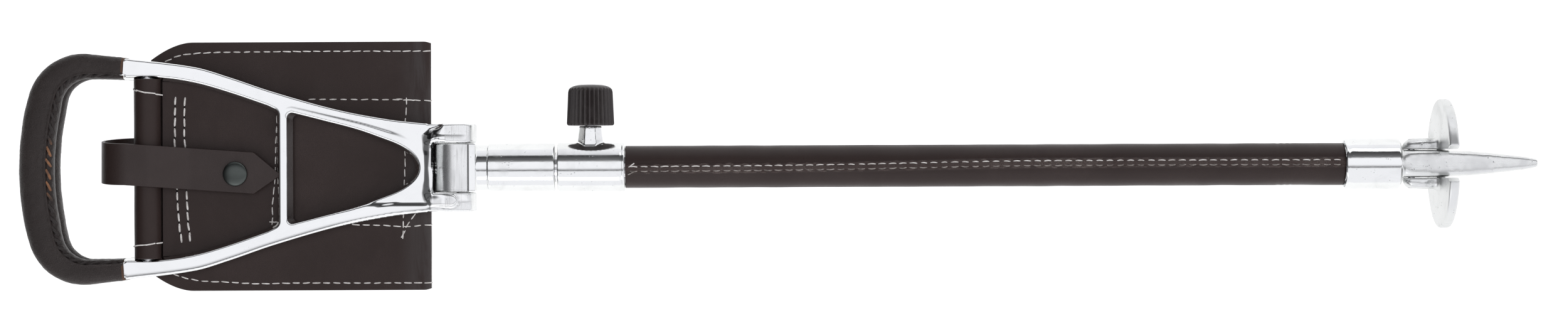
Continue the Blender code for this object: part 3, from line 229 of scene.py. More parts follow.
def smooth_height(knots, at):
    """Height of a smooth curve through knots that run in order along the first axis."""
    places = np.array([knot[0] for knot in knots])
    heights = np.array([knot[1] for knot in knots])
    slopes = np.gradient(heights, places)
    slopes[1:-1] = (heights[2:] - heights[:-2]) / (places[2:] - places[:-2])
    at = np.asarray(at, float)
    span = np.clip(np.searchsorted(places, at, side="right") - 1, 0, len(places) - 2)
    width = places[span + 1] - places[span]
    part = np.clip((at - places[span]) / width, 0.0, 1.0)
    square, cube = part ** 2, part ** 3
    value = (2 * cube - 3 * square + 1) * heights[span] + (3 * square - 2 * cube) * heights[span + 1]
    value += (cube - 2 * square + part) * width * slopes[span]
    return value + (cube - square) * width * slopes[span + 1]


def leg_edge(knots, start, end, steps):
    """A leg's edge in stick coordinates, where the handle runs towards -X."""
    reaches = np.linspace(start, end, steps + 1)
    return [(-reach, float(smooth_height(knots, reach))) for reach in reaches]


def rounded(points, radii, steps=10):
    """A path whose inner corners are rounded, each with its own radius."""
    path = [Vector(points[0])]
    for before, corner, after, radius in zip(points, points[1:], points[2:], radii):
        corner = Vector(corner)
        inward = (Vector(before) - corner).normalized()
        outward = (Vector(after) - corner).normalized()
        half = inward.angle(outward) / 2
        centre = corner + (inward + outward).normalized() * radius / math.sin(half)
        first = corner + inward * radius / math.tan(half) - centre
        turn = first.angle_signed(corner + outward * radius / math.tan(half) - centre)
        for step in range(steps + 1):
            spoke = first.copy()
            spoke.rotate(Matrix.Rotation(-turn * step / steps, 2))
            path.append(centre + spoke)
    path.append(Vector(points[-1]))
    return [tuple(point) for point in path]


def mirrored(half):
    """A closed outline from its +Y half: the same points again at -Y, in reverse."""
    return half + [(x, -y) for x, y in reversed(half) if abs(y) > 1e-9]


def running_length(points):
    """How long a path is up to each of its points."""
    return np.concatenate([[0], np.cumsum(np.linalg.norm(np.diff(points, axis=0), axis=1))])


def sampled(points, lengths, along):
    """Places on a path at given lengths along it."""
    return np.stack([np.interp(along, lengths, points[:, k]) for k in range(points.shape[1])], axis=1)


def even_path(points, step):
    """The same path with points a given step apart, and its running length."""
    points = np.array(points, float)
    lengths = running_length(points)
    along = np.linspace(0, lengths[-1], max(int(round(lengths[-1] / step)), 1) + 1)
    return sampled(points, lengths, along), along


def smooth(part):
    """A smooth step for a part from 0 to 1."""
    return part * part * (3 - 2 * part)


def ease(value, start, end):
    """A smooth step from 0 to 1 between two values."""
    return smooth(np.clip((value - start) / (end - start), 0, 1))


def bell(value, width, power=2):
    """A bump of height 1 about 0, as wide as said."""
    return np.exp(-(value / width) ** power)


def bar_loop(shift, corner_steps=16, bar_steps=20):
    """The D bar's line or edge, from the upper arm round to its middle."""
    far = HANDLE_REACH - GRIP_WIDTH / 2
    centre = BAR_ARC_RADIUS - far
    corner_y = ARM_HALF_SPAN - BAR_CORNER_RADIUS
    corner_x = centre - math.sqrt((BAR_ARC_RADIUS - BAR_CORNER_RADIUS) ** 2 - corner_y ** 2)
    meet = math.degrees(math.atan2(corner_y, corner_x - centre))
    corner = arc((corner_x, corner_y), BAR_CORNER_RADIUS + shift, 90, meet, corner_steps)
    return corner + arc((centre, 0), BAR_ARC_RADIUS + shift, meet, 180, bar_steps)[1:]


def arm_middle(reach):
    """Half width of an arm's middle line."""
    return float(smooth_height(LEG_OUTER, reach) + smooth_height(LEG_INNER, reach)) / 2


def lumps(points, size, seed):
    """Smooth random heights from -1 to 1 over points, with lumps of a given size."""
    rng = np.random.default_rng(seed)
    total = np.zeros(len(points))
    for _ in range(12):
        wave = rng.normal(size=3)
        wave *= 2 * math.pi / size / np.linalg.norm(wave) * rng.uniform(0.5, 1.5)
        total += np.sin(points @ wave + rng.uniform(0, 2 * math.pi))
    return total / 5


# Meshes

def mesh_from(name, points, faces):
    """A mesh from arrays of points and quads or triangles."""
    mesh = bpy.data.meshes.new(name)
    mesh.from_pydata([tuple(point) for point in points], [], [tuple(face) for face in faces])
    mesh.update()
    return mesh


def skin(name, rings, closed_along=False):
    """A mesh over closed rings of points; open ends get a flat cap of triangles."""
    rings = np.asarray(rings, float)
    rows, columns = rings.shape[:2]
    index = np.arange(rows * columns).reshape(rows, columns)
    pairs = [(c, (c + 1) % columns) for c in range(columns)]
    faces = []
    for low in range(rows if closed_along else rows - 1):
        high = (low + 1) % rows
        for left, right in pairs:
            faces.append((index[low, left], index[low, right], index[high, right], index[high, left]))
    points = rings.reshape(-1, 3)
    if not closed_along:
        first, last = len(points), len(points) + 1
        points = np.concatenate([points, [rings[0].mean(axis=0), rings[-1].mean(axis=0)]])
        for left, right in pairs:
            faces.append((first, index[0, right], index[0, left]))
            faces.append((last, index[-1, left], index[-1, right]))
    return tidy_normals(mesh_from(name, points, faces))


def lathe(name, profile, axis, centre=(0, 0, 0), steps=96, closed=False):
    """A turned shape about an axis from (length, radius) pairs; its ends close on the axis."""
    profile = np.array(profile, float)
    angles = np.linspace(0, math.tau, steps, endpoint=False)
    rings = np.empty((len(profile), steps, 3))
    rings[:, :, axis] = profile[:, :1]
    rings[:, :, (axis + 1) % 3] = profile[:, 1:] * np.cos(angles)
    rings[:, :, (axis + 2) % 3] = profile[:, 1:] * np.sin(angles)
    return skin(name, rings + np.array(centre), closed)


def tidy_normals(mesh):
    """Merge doubles and turn every face outwards."""
    bm = bmesh.new()
    bm.from_mesh(mesh)
    bmesh.ops.remove_doubles(bm, verts=bm.verts, dist=1e-7)
    bmesh.ops.dissolve_degenerate(bm, edges=bm.edges, dist=1e-8)
    bmesh.ops.recalc_face_normals(bm, faces=bm.faces)
    bm.to_mesh(mesh)
    bm.free()
    return mesh


def points_of(mesh):
    """A mesh's vertices as an array."""
    points = np.empty(len(mesh.vertices) * 3)
    mesh.vertices.foreach_get("co", points)
    return points.reshape(-1, 3)


def move_points(mesh, points):
    """Put a mesh's vertices at new places."""
    mesh.vertices.foreach_set("co", np.asarray(points, float).ravel())
    mesh.update()
    return mesh


def on_side(mesh, side):
    """A mesh as it is for the front, turned over for the rear."""
    move_points(mesh, points_of(mesh) * (1, 1, side))
    if side < 0:
        mesh.flip_normals()
    return mesh


def both_sides(group):
    """The sign, the body and the name of the front and of the rear."""
    return (1, f"front_{group}", "front"), (-1, f"rear_{group}", "rear")


def add_object(name, mesh):
    """Link a mesh into the scene."""
    item = bpy.data.objects.new(name, mesh)
    bpy.context.scene.collection.objects.link(item)
    return item


def baked(item, name):
    """A plain mesh of an object with its modifiers applied; the object goes."""
    graph = bpy.context.evaluated_depsgraph_get()
    mesh = bpy.data.meshes.new_from_object(item.evaluated_get(graph), depsgraph=graph)
    mesh.name = name
    plain = item.data
    bpy.data.objects.remove(item)
    bpy.data.meshes.remove(plain)
    return mesh


def refined(name, node, voxel):
    """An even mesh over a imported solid, in stick coordinates."""
    mesh = frame["nodes"][node].data.copy()
    mesh.transform(Matrix.Translation((-PIN_X, 0, -AXIS_Z)))
    mesh.materials.clear()
    tidy_normals(mesh)
    item = add_object(name, mesh)
    remesh = item.modifiers.new("Even", "REMESH")
    remesh.mode = "VOXEL"
    remesh.voxel_size = voxel
    return baked(item, name)


def neighbour_average(points, edges):
    """Each vertex's mean neighbour."""
    total = np.zeros_like(points)
    count = np.zeros(len(points))
    for a, b in ((0, 1), (1, 0)):
        np.add.at(total, edges[:, a], points[edges[:, b]])
        np.add.at(count, edges[:, a], 1)
    return total / np.maximum(count, 1)[:, None]


def at_most(moves, reach):
    """Moves cut back to a length."""
    length = np.linalg.norm(moves, axis=1)
    return moves * (np.minimum(length, reach) / np.maximum(length, 1e-12))[:, None]


def settle(mesh, field, reach=0.003):
    """Move a mesh's vertices onto the surface where field is zero, evenly spread."""
    points = points_of(mesh)
    start = points.copy()
    edges = np.empty(len(mesh.edges) * 2, int)
    mesh.edges.foreach_get("vertices", edges)
    edges = edges.reshape(-1, 2)
    step, rounds = 4e-5, 4
    for number in range(rounds):
        if number < rounds - 1:
            points += 0.5 * (neighbour_average(points, edges) - points)
        for _ in range(2):
            value = field(points)
            slope = np.empty_like(points)
            for axis in range(3):
                shifted = points.copy()
                shifted[:, axis] += step
                slope[:, axis] = (field(shifted) - value) / step
            size = np.maximum((slope ** 2).sum(axis=1), 0.25)
            points += at_most(-(value / size)[:, None] * slope, 0.0008)
    return move_points(mesh, start + at_most(points - start, reach))


# Fields: negative inside a shape, positive outside, in metres

def outline_distance(points, outline, chunk=20000):
    """Signed distance of flat points to a closed outline whose lower half repeats its upper."""
    full = np.array(outline, float)
    after = np.roll(full, -1, axis=0)
    here = np.stack([points[:, 0], np.abs(points[:, 1])], axis=1)
    upper = full[full[:, 1] > -1e-9]
    start, span = upper[:-1], upper[1:] - upper[:-1]
    square = np.maximum((span ** 2).sum(axis=1), 1e-18)
    rise = after[:, 1] - full[:, 1]
    rise = np.where(np.abs(rise) < 1e-15, 1e-15, rise)
    result = np.empty(len(here))
    for first in range(0, len(here), chunk):
        p = here[first:first + chunk]
        rel = p[:, None, :] - start[None]
        part = np.clip((rel * span[None]).sum(axis=2) / square, 0, 1)
        near = rel - part[:, :, None] * span[None]
        distance = np.sqrt((near ** 2).sum(axis=2).min(axis=1))
        above = (full[None, :, 1] > p[:, None, 1]) != (after[None, :, 1] > p[:, None, 1])
        cross = full[:, 0] + (p[:, None, 1] - full[:, 1]) * (after[:, 0] - full[:, 0]) / rise
        inside = (above & (p[:, None, 0] < cross)).sum(axis=1) % 2 == 1
        result[first:first + chunk] = np.where(inside, -distance, distance)
    return result


class FlatShape:
    """A closed outline's signed distance, kept on a grid so that it is quick to read."""

    def __init__(self, outline, step=0.0003, margin=0.006):
        self.low = np.min(outline, axis=0) - margin
        self.low[1] = -2 * step
        self.step = step
        counts = np.ceil((np.max(outline, axis=0) + margin - self.low) / step).astype(int) + 1
        grid = np.stack(np.meshgrid(*(np.arange(n) for n in counts), indexing="ij"), axis=-1)
        self.values = outline_distance(self.low + grid.reshape(-1, 2) * step, outline).reshape(counts)

    def __call__(self, points):
        at = (np.stack([points[:, 0], np.abs(points[:, 1])], axis=1) - self.low) / self.step
        held = np.clip(at, 0, np.array(self.values.shape) - 1.001)
        cell = held.astype(int)
        u, v = (held - cell).T
        i, j = cell.T
        grid = self.values
        value = (grid[i, j] * (1 - u) * (1 - v) + grid[i + 1, j] * u * (1 - v)
                 + grid[i, j + 1] * (1 - u) * v + grid[i + 1, j + 1] * u * v)
        return value + np.linalg.norm(at - held, axis=1) * self.step


def both(a, b, radius=0.0):
    """Where both shapes are, with a rounded edge."""
    if radius <= 0:
        return np.maximum(a, b)
    a, b = a + radius, b + radius
    return np.minimum(np.maximum(a, b), 0) + np.hypot(np.maximum(a, 0), np.maximum(b, 0)) - radius


def either(a, b, fillet):
    """Where either shape is, with a filled corner between them."""
    part = np.clip(0.5 + 0.5 * (b - a) / fillet, 0, 1)
    return b + (a - b) * part - fillet * part * (1 - part)


def shaft_field(points, radius):
    """Distance to an endless round bar along the stick's axis."""
    return np.hypot(points[:, 1], points[:, 2]) - radius


def pin_field(points, x, z, radius):
    """Distance to an endless round bar across the stick."""
    return np.hypot(points[:, 0] - x, points[:, 2] - z) - radius


def span_field(values, low, high):
    """Distance to a slab between two values."""
    return np.maximum(low - values, values - high)


# Shader effects and finishes

def give(tree, socket, value):
    """Set a socket to a constant, or link another node's socket to it."""
    if isinstance(value, bpy.types.NodeSocket):
        tree.links.new(value, socket)
    else:
        socket.default_value = (*value, 1) if socket.type == "RGBA" else value


def add_node(tree, kind, inputs=None, **settings):
    """Add a node; its inputs take constants or other nodes' sockets."""
    node = tree.nodes.new(kind)
    for key, value in settings.items():
        setattr(node, key, value)
    for key, value in (inputs or {}).items():
        give(tree, node.inputs[key], value)
    return node


def sums(tree, operation, first, second=0.0):
    """One math node's result."""
    return add_node(tree, "ShaderNodeMath", {0: first, 1: second}, operation=operation).outputs[0]


def times(tree, first, second):
    """Two values multiplied."""
    return sums(tree, "MULTIPLY", first, second)


def plus(tree, value, other, share):
    """A value with a share of another added."""
    return sums(tree, "ADD", value, times(tree, other, share))


def split(tree, vector):
    """A vector's X, Y and Z."""
    return add_node(tree, "ShaderNodeSeparateXYZ", {0: vector}).outputs


def joined(tree, **parts):
    """A vector from its X, Y and Z."""
    return add_node(tree, "ShaderNodeCombineXYZ", parts).outputs[0]


def noise(tree, vector, scale, detail=2.0, roughness=0.5, distortion=0.0):
    """A noise texture's value."""
    inputs = {"Vector": vector, "Scale": scale, "Detail": detail, "Roughness": roughness, "Distortion": distortion}
    return add_node(tree, "ShaderNodeTexNoise", inputs).outputs["Fac"]


def step_between(tree, value, low, high, floor=0.0, top=1.0):
    """A smooth step of a value from one level to another."""
    inputs = {"Value": value, "From Min": low, "From Max": high, "To Min": floor, "To Max": top}
    return add_node(tree, "ShaderNodeMapRange", inputs, interpolation_type="SMOOTHSTEP").outputs["Result"]


def tint(tree, part, first, second, blend="MIX"):
    """A colour between two."""
    return add_node(tree, "ShaderNodeMix", {"Factor": part, 6: first, 7: second}, data_type="RGBA",
                    blend_type=blend).outputs[2]


def titled(values):
    """Values under their sockets' names."""
    return {key.replace("_", " ").title(): value for key, value in values.items()}


def effect(name, *outputs, **inputs):
    """An effect group over a vector, with its named values and what it puts out."""
    group = bpy.data.node_groups.new(name, "ShaderNodeTree")
    group.interface.new_socket("Vector", in_out="INPUT", socket_type="NodeSocketVector")
    for label, value in titled(inputs).items():
        group.interface.new_socket(label, in_out="INPUT", socket_type="NodeSocketFloat").default_value = value
    for label in outputs:
        group.interface.new_socket(label, in_out="OUTPUT", socket_type="NodeSocketFloat")
    return group, group.nodes.new("NodeGroupInput").outputs, group.nodes.new("NodeGroupOutput").inputs


def leather_grain():
    """Pores, fine cells and creases of hide."""
    group, inside, out = effect("Leather grain", "Height", "Tone", cell_size=0.0007, crease_size=0.006)
    vector = inside["Vector"]
    warp = add_node(group, "ShaderNodeTexNoise", {"Vector": vector, "Scale": 420.0, "Detail": 2.0}).outputs["Color"]
    bent = add_node(group, "ShaderNodeVectorMath", {0: warp, 1: (0.0006, 0.0006, 0.0006)}, operation="MULTIPLY")
    bent = add_node(group, "ShaderNodeVectorMath", {0: vector, 1: bent.outputs[0]}, operation="ADD").outputs[0]
    cells = {"Vector": bent, "Scale": sums(group, "DIVIDE", 1.0, inside["Cell Size"]), "Randomness": 0.9}
    cells = add_node(group, "ShaderNodeTexVoronoi", cells, feature="DISTANCE_TO_EDGE")
    dome = step_between(group, cells.outputs["Distance"], 0.0, 0.28)
    crease = noise(group, bent, sums(group, "DIVIDE", 1.0, inside["Crease Size"]), 6.0, 0.62, 0.4)
    height = plus(group, times(group, dome, 0.30), crease, 1.1)
    give(group, out["Height"], plus(group, height, noise(group, vector, 3800.0), 0.12))
    give(group, out["Tone"], times(group, dome, step_between(group, crease, 0.3, 0.7, 0.5, 1.0)))
    return group


def smudge():
    """Slow, uneven change of tone, as handling and polish leave it."""
    group, inside, out = effect("Smudge", "Mask", size=0.03, low=0.4, high=0.7)
    slow = noise(group, inside["Vector"], sums(group, "DIVIDE", 1.0, inside["Size"]), 5.0, 0.6, 0.6)
    give(group, out["Mask"], step_between(group, slow, inside["Low"], inside["High"]))
    return group


def casting_skin():
    """Pits and grey marks of a polished sand casting."""
    group, inside, out = effect("Casting skin", "Height", "Marks", pit_size=0.0016, pits=0.35, grain=0.1)
    vector, scale = inside["Vector"], sums(group, "DIVIDE", 1.0, inside["Pit Size"])
    spots = add_node(group, "ShaderNodeTexVoronoi", {"Vector": vector, "Scale": scale, "Randomness": 1.0})
    chance = step_between(group, noise(group, vector, times(group, scale, 0.35), 3.0), 0.56, 0.72)
    pit = times(group, step_between(group, spots.outputs["Distance"], 0.08, 0.34, 1.0, 0.0), chance)
    pit = times(group, pit, inside["Pits"])
    wave = noise(group, vector, times(group, scale, 0.12))
    grain = noise(group, vector, times(group, scale, 1.3))
    height = sums(group, "SUBTRACT", times(group, wave, 0.35), pit)
    give(group, out["Height"], plus(group, height, grain, inside["Grain"]))
    give(group, out["Marks"], pit)
    return group


def drawn_lines():
    """Fine lines along X that drawing and wiping leave on metal."""
    group, inside, out = effect("Drawn lines", "Height", "Mask", spacing=0.0008, length=0.05)
    parts = split(group, inside["Vector"])
    sizes = {"X": "Length", "Y": "Spacing", "Z": "Spacing"}
    drawn = joined(group, **{axis: sums(group, "DIVIDE", parts[axis], inside[size]) for axis, size in sizes.items()})
    lines = noise(group, drawn, 1.0, 3.0)
    give(group, out["Height"], lines)
    give(group, out["Mask"], step_between(group, lines, 0.55, 0.75))
    return group


def finish_tree(name, metallic=0.0, sheen=0.0, specular=0.5):
    """A material with its shader, and the object's coordinates."""
    made = bpy.data.materials.new(name)
    made.use_nodes = True
    tree = made.node_tree
    shader = tree.nodes["Principled BSDF"]
    for label, value in (("Metallic", metallic), ("Sheen Weight", sheen), ("Sheen Roughness", 0.5),
                         ("Specular IOR Level", specular)):
        shader.inputs[label].default_value = value
    return made, tree, shader, tree.nodes.new("ShaderNodeTexCoord").outputs["Object"]


def use_effect(tree, key, vector, **inputs):
    """Place an effect in a material with its own values."""
    return add_node(tree, "ShaderNodeGroup", {"Vector": vector, **titled(inputs)}, node_tree=EFFECTS[key]).outputs


def surface(tree, shader, colour, roughness, height, depth):
    """Give the shader its colour, its roughness and its relief."""
    give(tree, shader.inputs["Base Color"], colour)
    give(tree, shader.inputs["Roughness"], roughness)
    relief = add_node(tree, "ShaderNodeBump", {"Height": height, "Distance": depth, "Strength": 1.0})
    give(tree, shader.inputs["Normal"], relief.outputs[0])


def leather_finish(name, colour, light, cell, crease, depth, rough, gloss=0.26, painted_fold_sheen=False):
    """A hide's finish: grain, worn lighter tops of the grain, uneven polish, and, when its last flag is set, lighter
    streaks near the fold that are painted sheen.
    """
    made, tree, shader, spot = finish_tree(name, specular=gloss)
    grain = use_effect(tree, "grain", spot, cell_size=cell, crease_size=crease)
    worn = use_effect(tree, "smudge", spot, size=0.035, low=0.35, high=0.75)["Mask"]
    base = tint(tree, times(tree, grain["Tone"], worn), colour, light)
    # Painted sheen: lighter grey streaks near the fold stand in for light caught on the leather there.
    if painted_fold_sheen:
        parts = split(tree, spot)
        sheen_streak_coords = joined(tree, X=parts["X"], Y=times(tree, parts["Y"], 0.2))
        sheen_streak = use_effect(tree, "smudge", sheen_streak_coords, size=0.012, low=0.35, high=0.6)["Mask"]
        sheen_near_fold = step_between(tree, parts["X"], PIN_X - 0.038, PIN_X - 0.020)
        base = tint(tree, times(tree, sheen_near_fold, sheen_streak), base, (0.062, 0.052, 0.050))
    surface(tree, shader, base, plus(tree, rough, worn, -0.10), grain["Height"], depth)
    return made


def metal_finish(name, colour, dull, rough, pits, pit_size, depth, lines=0.0, filed=False, wear=1.0):
    """A metal's finish: pits, dull patches and drawn lines; a filed face has its lines along Y."""
    made, tree, shader, spot = finish_tree(name, metallic=1.0)
    cast = use_effect(tree, "casting", spot, pit_size=pit_size, pits=pits, grain=0.16 * wear)
    worn = use_effect(tree, "smudge", spot, size=0.018, low=0.45, high=0.72)["Mask"]
    base = tint(tree, times(tree, worn, 0.25 * wear), colour, dull)
    base = tint(tree, cast["Marks"], base, (0.03, 0.03, 0.035))
    roughness = plus(tree, plus(tree, rough, worn, 0.10 * wear), cast["Marks"], 0.4)
    height = cast["Height"]
    if lines:
        run, length = spot, 0.06
        if filed:
            parts = split(tree, spot)
            run, length = joined(tree, X=parts["Y"], Y=parts["X"]), 0.015
        drawn = use_effect(tree, "lines", run, spacing=0.0006, length=length)
        if filed:
            base = tint(tree, drawn["Mask"], base, dull)
        height = plus(tree, height, drawn["Height"], lines)
        roughness = plus(tree, roughness, drawn["Mask"], 0.1)
    surface(tree, shader, base, roughness, height, depth)
    return made


def plastic_finish(name, colour, light, rough):
    """A moulded plastic's finish."""
    made, tree, shader, spot = finish_tree(name, specular=0.45)
    worn = use_effect(tree, "smudge", spot, size=0.006, low=0.4, high=0.8)["Mask"]
    surface(tree, shader, tint(tree, worn, colour, light), plus(tree, rough, worn, 0.15), noise(tree, spot, 2500.0),
            0.00003)
    return made


def thread_finish(name, colour, shade, bright=0.0):
    """A waxed thread's finish: its twist and patchy grime; the last value paints a glint, keeping the light colour
    only within that distance of Y = 0, with the thread dark farther out.
    """
    made, tree, shader, spot = finish_tree(name, sheen=0.2)
    soil_and_glint = use_effect(tree, "smudge", spot, size=0.004, low=0.4, high=0.7)["Mask"]
    parts = split(tree, spot)
    slant = sums(tree, "ADD", parts["X"], sums(tree, "ADD", parts["Y"], parts["Z"]))
    twist = sums(tree, "SINE", times(tree, slant, 9000.0))
    # Painted glint: away from Y = 0 the thread is turned dark, so its light colour shows only near the middle.
    if bright:
        away = sums(tree, "ABSOLUTE", parts["Y"])
        soil_and_glint = sums(tree, "MAXIMUM", soil_and_glint, step_between(tree, away, bright, bright + 0.012))
    surface(tree, shader, tint(tree, soil_and_glint, colour, shade), 0.75, twist, 0.00004)
    return made


def lift(colour, amount):
    """A lighter colour."""
    return tuple(min(part * amount + 0.004, 1) for part in colour)


def make_finishes(settings):
    """Every finish of the stick, by name."""
    EFFECTS.update(grain=leather_grain(), smudge=smudge(), casting=casting_skin(), lines=drawn_lines())
    seat, grip = tuple(settings.seat_colour), tuple(settings.grip_colour)
    silver, grey = (0.85, 0.86, 0.855), (0.60, 0.61, 0.60)
    return {
        # The seat leather's lighter streaks near the fold are painted sheen.
        "seat_leather": leather_finish("Seat leather", seat, lift(seat, 1.35), 0.00055, 0.009, 0.00006, 0.47,
                                       painted_fold_sheen=True),
        "tube_leather": leather_finish("Shaft leather", seat, lift(seat, 1.4), 0.0005, 0.006, 0.00007, 0.42),
        "seam_leather": leather_finish("Puckered seam leather", lift(seat, 1.7), (0.17, 0.14, 0.125), 0.0007,
                                       0.0014, 0.00034, 0.5, 0.35),
        "strap_leather": leather_finish("Strap leather", seat, lift(seat, 1.5), 0.0006, 0.007, 0.00007, 0.46, 0.42),
        "grip_leather": leather_finish("Grip leather", grip, lift(grip, 1.9), 0.0009, 0.0035, 0.00034, 0.44, 0.34),
        # Near-black: painted shade inside the needle holes.
        "needle_hole": leather_finish("Needle holes", (0.006, 0.005, 0.005), (0.012, 0.010, 0.009), 0.0003, 0.001,
                                      0.00004, 0.7),
        "cut_edge": leather_finish("Cut leather edge", (0.10, 0.055, 0.035), (0.16, 0.09, 0.06), 0.0003, 0.001,
                                   0.00008, 0.75),
        "polished": metal_finish("Polished aluminium", silver, grey, 0.08, 0.12, 0.0016, 0.00004, wear=0.35),
        "cast": metal_finish("Cast aluminium", silver, grey, 0.10, 0.55, 0.0013, 0.00007),
        "dull_cast": metal_finish("Weathered casting", (0.76, 0.77, 0.765), (0.52, 0.53, 0.52), 0.36, 0.9, 0.0016,
                                  0.00014),
        "pitted": metal_finish("Pitted casting", (0.74, 0.75, 0.745), (0.34, 0.34, 0.33), 0.26, 1.0, 0.0026,
                               0.00022, wear=2.5),
        "filed": metal_finish("Filed aluminium", silver, (0.60, 0.60, 0.59), 0.26, 0.5, 0.0011, 0.00006, 0.5,
                              filed=True),
        "tube": metal_finish("Bright tube", (0.93, 0.93, 0.94), grey, 0.09, 0.0, 0.002, 0.00002, 0.5),
        "steel": metal_finish("Pin steel", (0.62, 0.62, 0.63), (0.35, 0.35, 0.36), 0.26, 0.2, 0.0008, 0.00003),
        "spike": metal_finish("Spike steel", (0.78, 0.79, 0.78), (0.5, 0.5, 0.52), 0.27, 0.8, 0.0014, 0.00012, 0.2),
        "gunmetal": metal_finish("Gunmetal", (0.085, 0.095, 0.09), (0.035, 0.04, 0.04), 0.34, 0.2, 0.0010, 0.00003),
        "knob": plastic_finish("Knob plastic", (0.040, 0.033, 0.032), (0.062, 0.054, 0.052), 0.40),
        "nylon": plastic_finish("Nylon", (0.62, 0.62, 0.58), (0.70, 0.70, 0.67), 0.45),
        "thread": thread_finish("Off-white thread", (0.95, 0.92, 0.88), (0.66, 0.62, 0.58)),
        "soiled_thread": thread_finish("Soiled thread", (0.42, 0.38, 0.35), (0.13, 0.11, 0.10)),
        # The copper colour of the brown thread is a painted glint, kept near the grip's middle; elsewhere the thread
        # is dark.
        "brown_thread": thread_finish("Brown thread", (0.34, 0.15, 0.065), (0.028, 0.021, 0.019), 0.007),
    }


def place(name, mesh, body, slot, finishes, *nodes, sharp=38):
    """Put a finished mesh on its body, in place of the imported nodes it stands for."""
    mesh.transform(Matrix.Translation((PIN_X, 0, AXIS_Z)))
    mesh.materials.clear()
    for key in finishes.split():
        mesh.materials.append(FINISH[key])
    mesh.shade_smooth()
    if sharp:
        mesh.set_sharp_from_angle(angle=math.radians(sharp))
    piece = add_object(name, mesh)
    if body:
        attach(piece, body)
    if nodes:
        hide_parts(*nodes)
    return piece


def second_finish(piece, where):
    """Give a piece's second finish to the faces whose middles lie where said, in stick coordinates."""
    faces = piece.data.polygons
    middles = np.empty(len(faces) * 3)
    faces.foreach_get("center", middles)
    faces.foreach_set("material_index", where(middles.reshape(-1, 3) - (PIN_X, 0, AXIS_Z)).astype(int))


# Stage

def make_sky():
    """Soft white surround with the dark strips of an open studio."""
    world = bpy.data.worlds.new("Studio")
    world.use_nodes = True
    tree = world.node_tree
    back = tree.nodes["Background"]
    parts = split(tree, tree.nodes.new("ShaderNodeTexCoord").outputs["Generated"])

    def strips(angle, levels):
        part = sums(tree, "ADD", sums(tree, "DIVIDE", angle, math.tau), 0.5)
        ramp = add_node(tree, "ShaderNodeValToRGB", {"Fac": part})
        ramp.color_ramp.interpolation = "EASE"
        stops = ramp.color_ramp.elements
        stops.remove(stops[-1])
        stops[0].position = levels[0][0] / 360 + 0.5
        for degrees, _ in levels[1:]:
            stops.new(degrees / 360 + 0.5)
        for stop, (_, level) in zip(stops, levels):
            stop.color = (level, level, level * 1.02, 1)
        return ramp.outputs["Color"]

    across = strips(sums(tree, "ARCTAN2", parts["Y"], parts["Z"]),
                    ((-110, 1.0), (-22, 1.0), (-18.5, 0.8), (-16, 0.08), (-13, 0.35), (-8, 0.8), (-3, 1.04),
                     (25, 1.06), (29, 0.25), (38, 0.12), (56, 0.04), (62, 0.85), (90, 1.0)))
    along = strips(sums(tree, "ARCSINE", times(tree, parts["X"], -1.0)),
                   ((-60, 1.0), (22, 1.0), (32, 0.45), (45, 0.13), (80, 0.10), (90, 0.25)))
    give(tree, back.inputs["Color"], tint(tree, 1.0, across, along, "MULTIPLY"))
    back.inputs["Strength"].default_value = 1.0
    return world


def make_lights(strength):
    """Wide soft lights low beside the stick."""
    for name, where, size, power in (("Key", (-0.6, -1.6, 1.2), (1.6, 0.5), 3.0),
                                     ("Fill", (0.9, 1.7, 0.9), (1.6, 0.5), 2.0)):
        lamp = bpy.data.lights.new(name, "AREA")
        lamp.shape = "RECTANGLE"
        lamp.size, lamp.size_y = size
        lamp.energy = power * strength
        item = bpy.data.objects.new(name, lamp)
        item.location = where
        item.rotation_euler = (-Vector(where)).to_track_quat("-Z", "Y").to_euler()
        bpy.context.scene.collection.objects.link(item)


def make_camera():
    """The photograph's camera: straight above, turned as little as the stick lies askew."""
    lens = bpy.data.cameras.new("Camera")
    lens.sensor_fit = "HORIZONTAL"
    lens.sensor_width = 36.0
    lens.lens = lens.sensor_width * PHOTO_DISTANCE / (PHOTO_WIDTH * PHOTO_SCALE)
    lens.clip_start, lens.clip_end = 0.05, 20.0
    camera = bpy.data.objects.new("Camera", lens)
    camera.location = (*PHOTO_CENTRE, AXIS_Z + PHOTO_DISTANCE)
    camera.rotation_euler = (0, 0, -math.atan(PHOTO_SLOPE))
    bpy.context.scene.collection.objects.link(camera)
    bpy.context.scene.camera = camera


def make_floor(glow):
    """Pale paper, low enough that the handles open clear of it."""
    points = [(x, y, -FLOOR_DROP) for x, y in ((-3, -3), (3, -3), (3, 3), (-3, 3))]
    floor = add_object("floor", mesh_from("floor", points, [(0, 1, 2, 3)]))
    made, tree, shader, spot = finish_tree("Studio paper")
    grain = noise(tree, spot, 40.0, 3.0)
    give(tree, shader.inputs["Base Color"], tint(tree, grain, (0.30, 0.30, 0.30), (0.32, 0.32, 0.32)))
    for label, value in (("Roughness", 0.9), ("Emission Color", (1, 1, 1)), ("Emission Strength", glow)):
        give(tree, shader.inputs[label], value)
    floor.data.materials.append(made)


# Handle frames

def frame_outline():
    """Outer edge of a handle frame."""
    half = [(-WEB_START, LEG_OUTER[0][1] - 0.003)]
    half += leg_edge(LEG_OUTER, LEG_OUTER[0][0], LEG_OUTER[-1][0], 60)
    half.append((-GRIP_START + 0.0006, arm_middle(GRIP_START) + BAR_WIDTH / 2))
    return mirrored(half + bar_loop(BAR_WIDTH / 2))


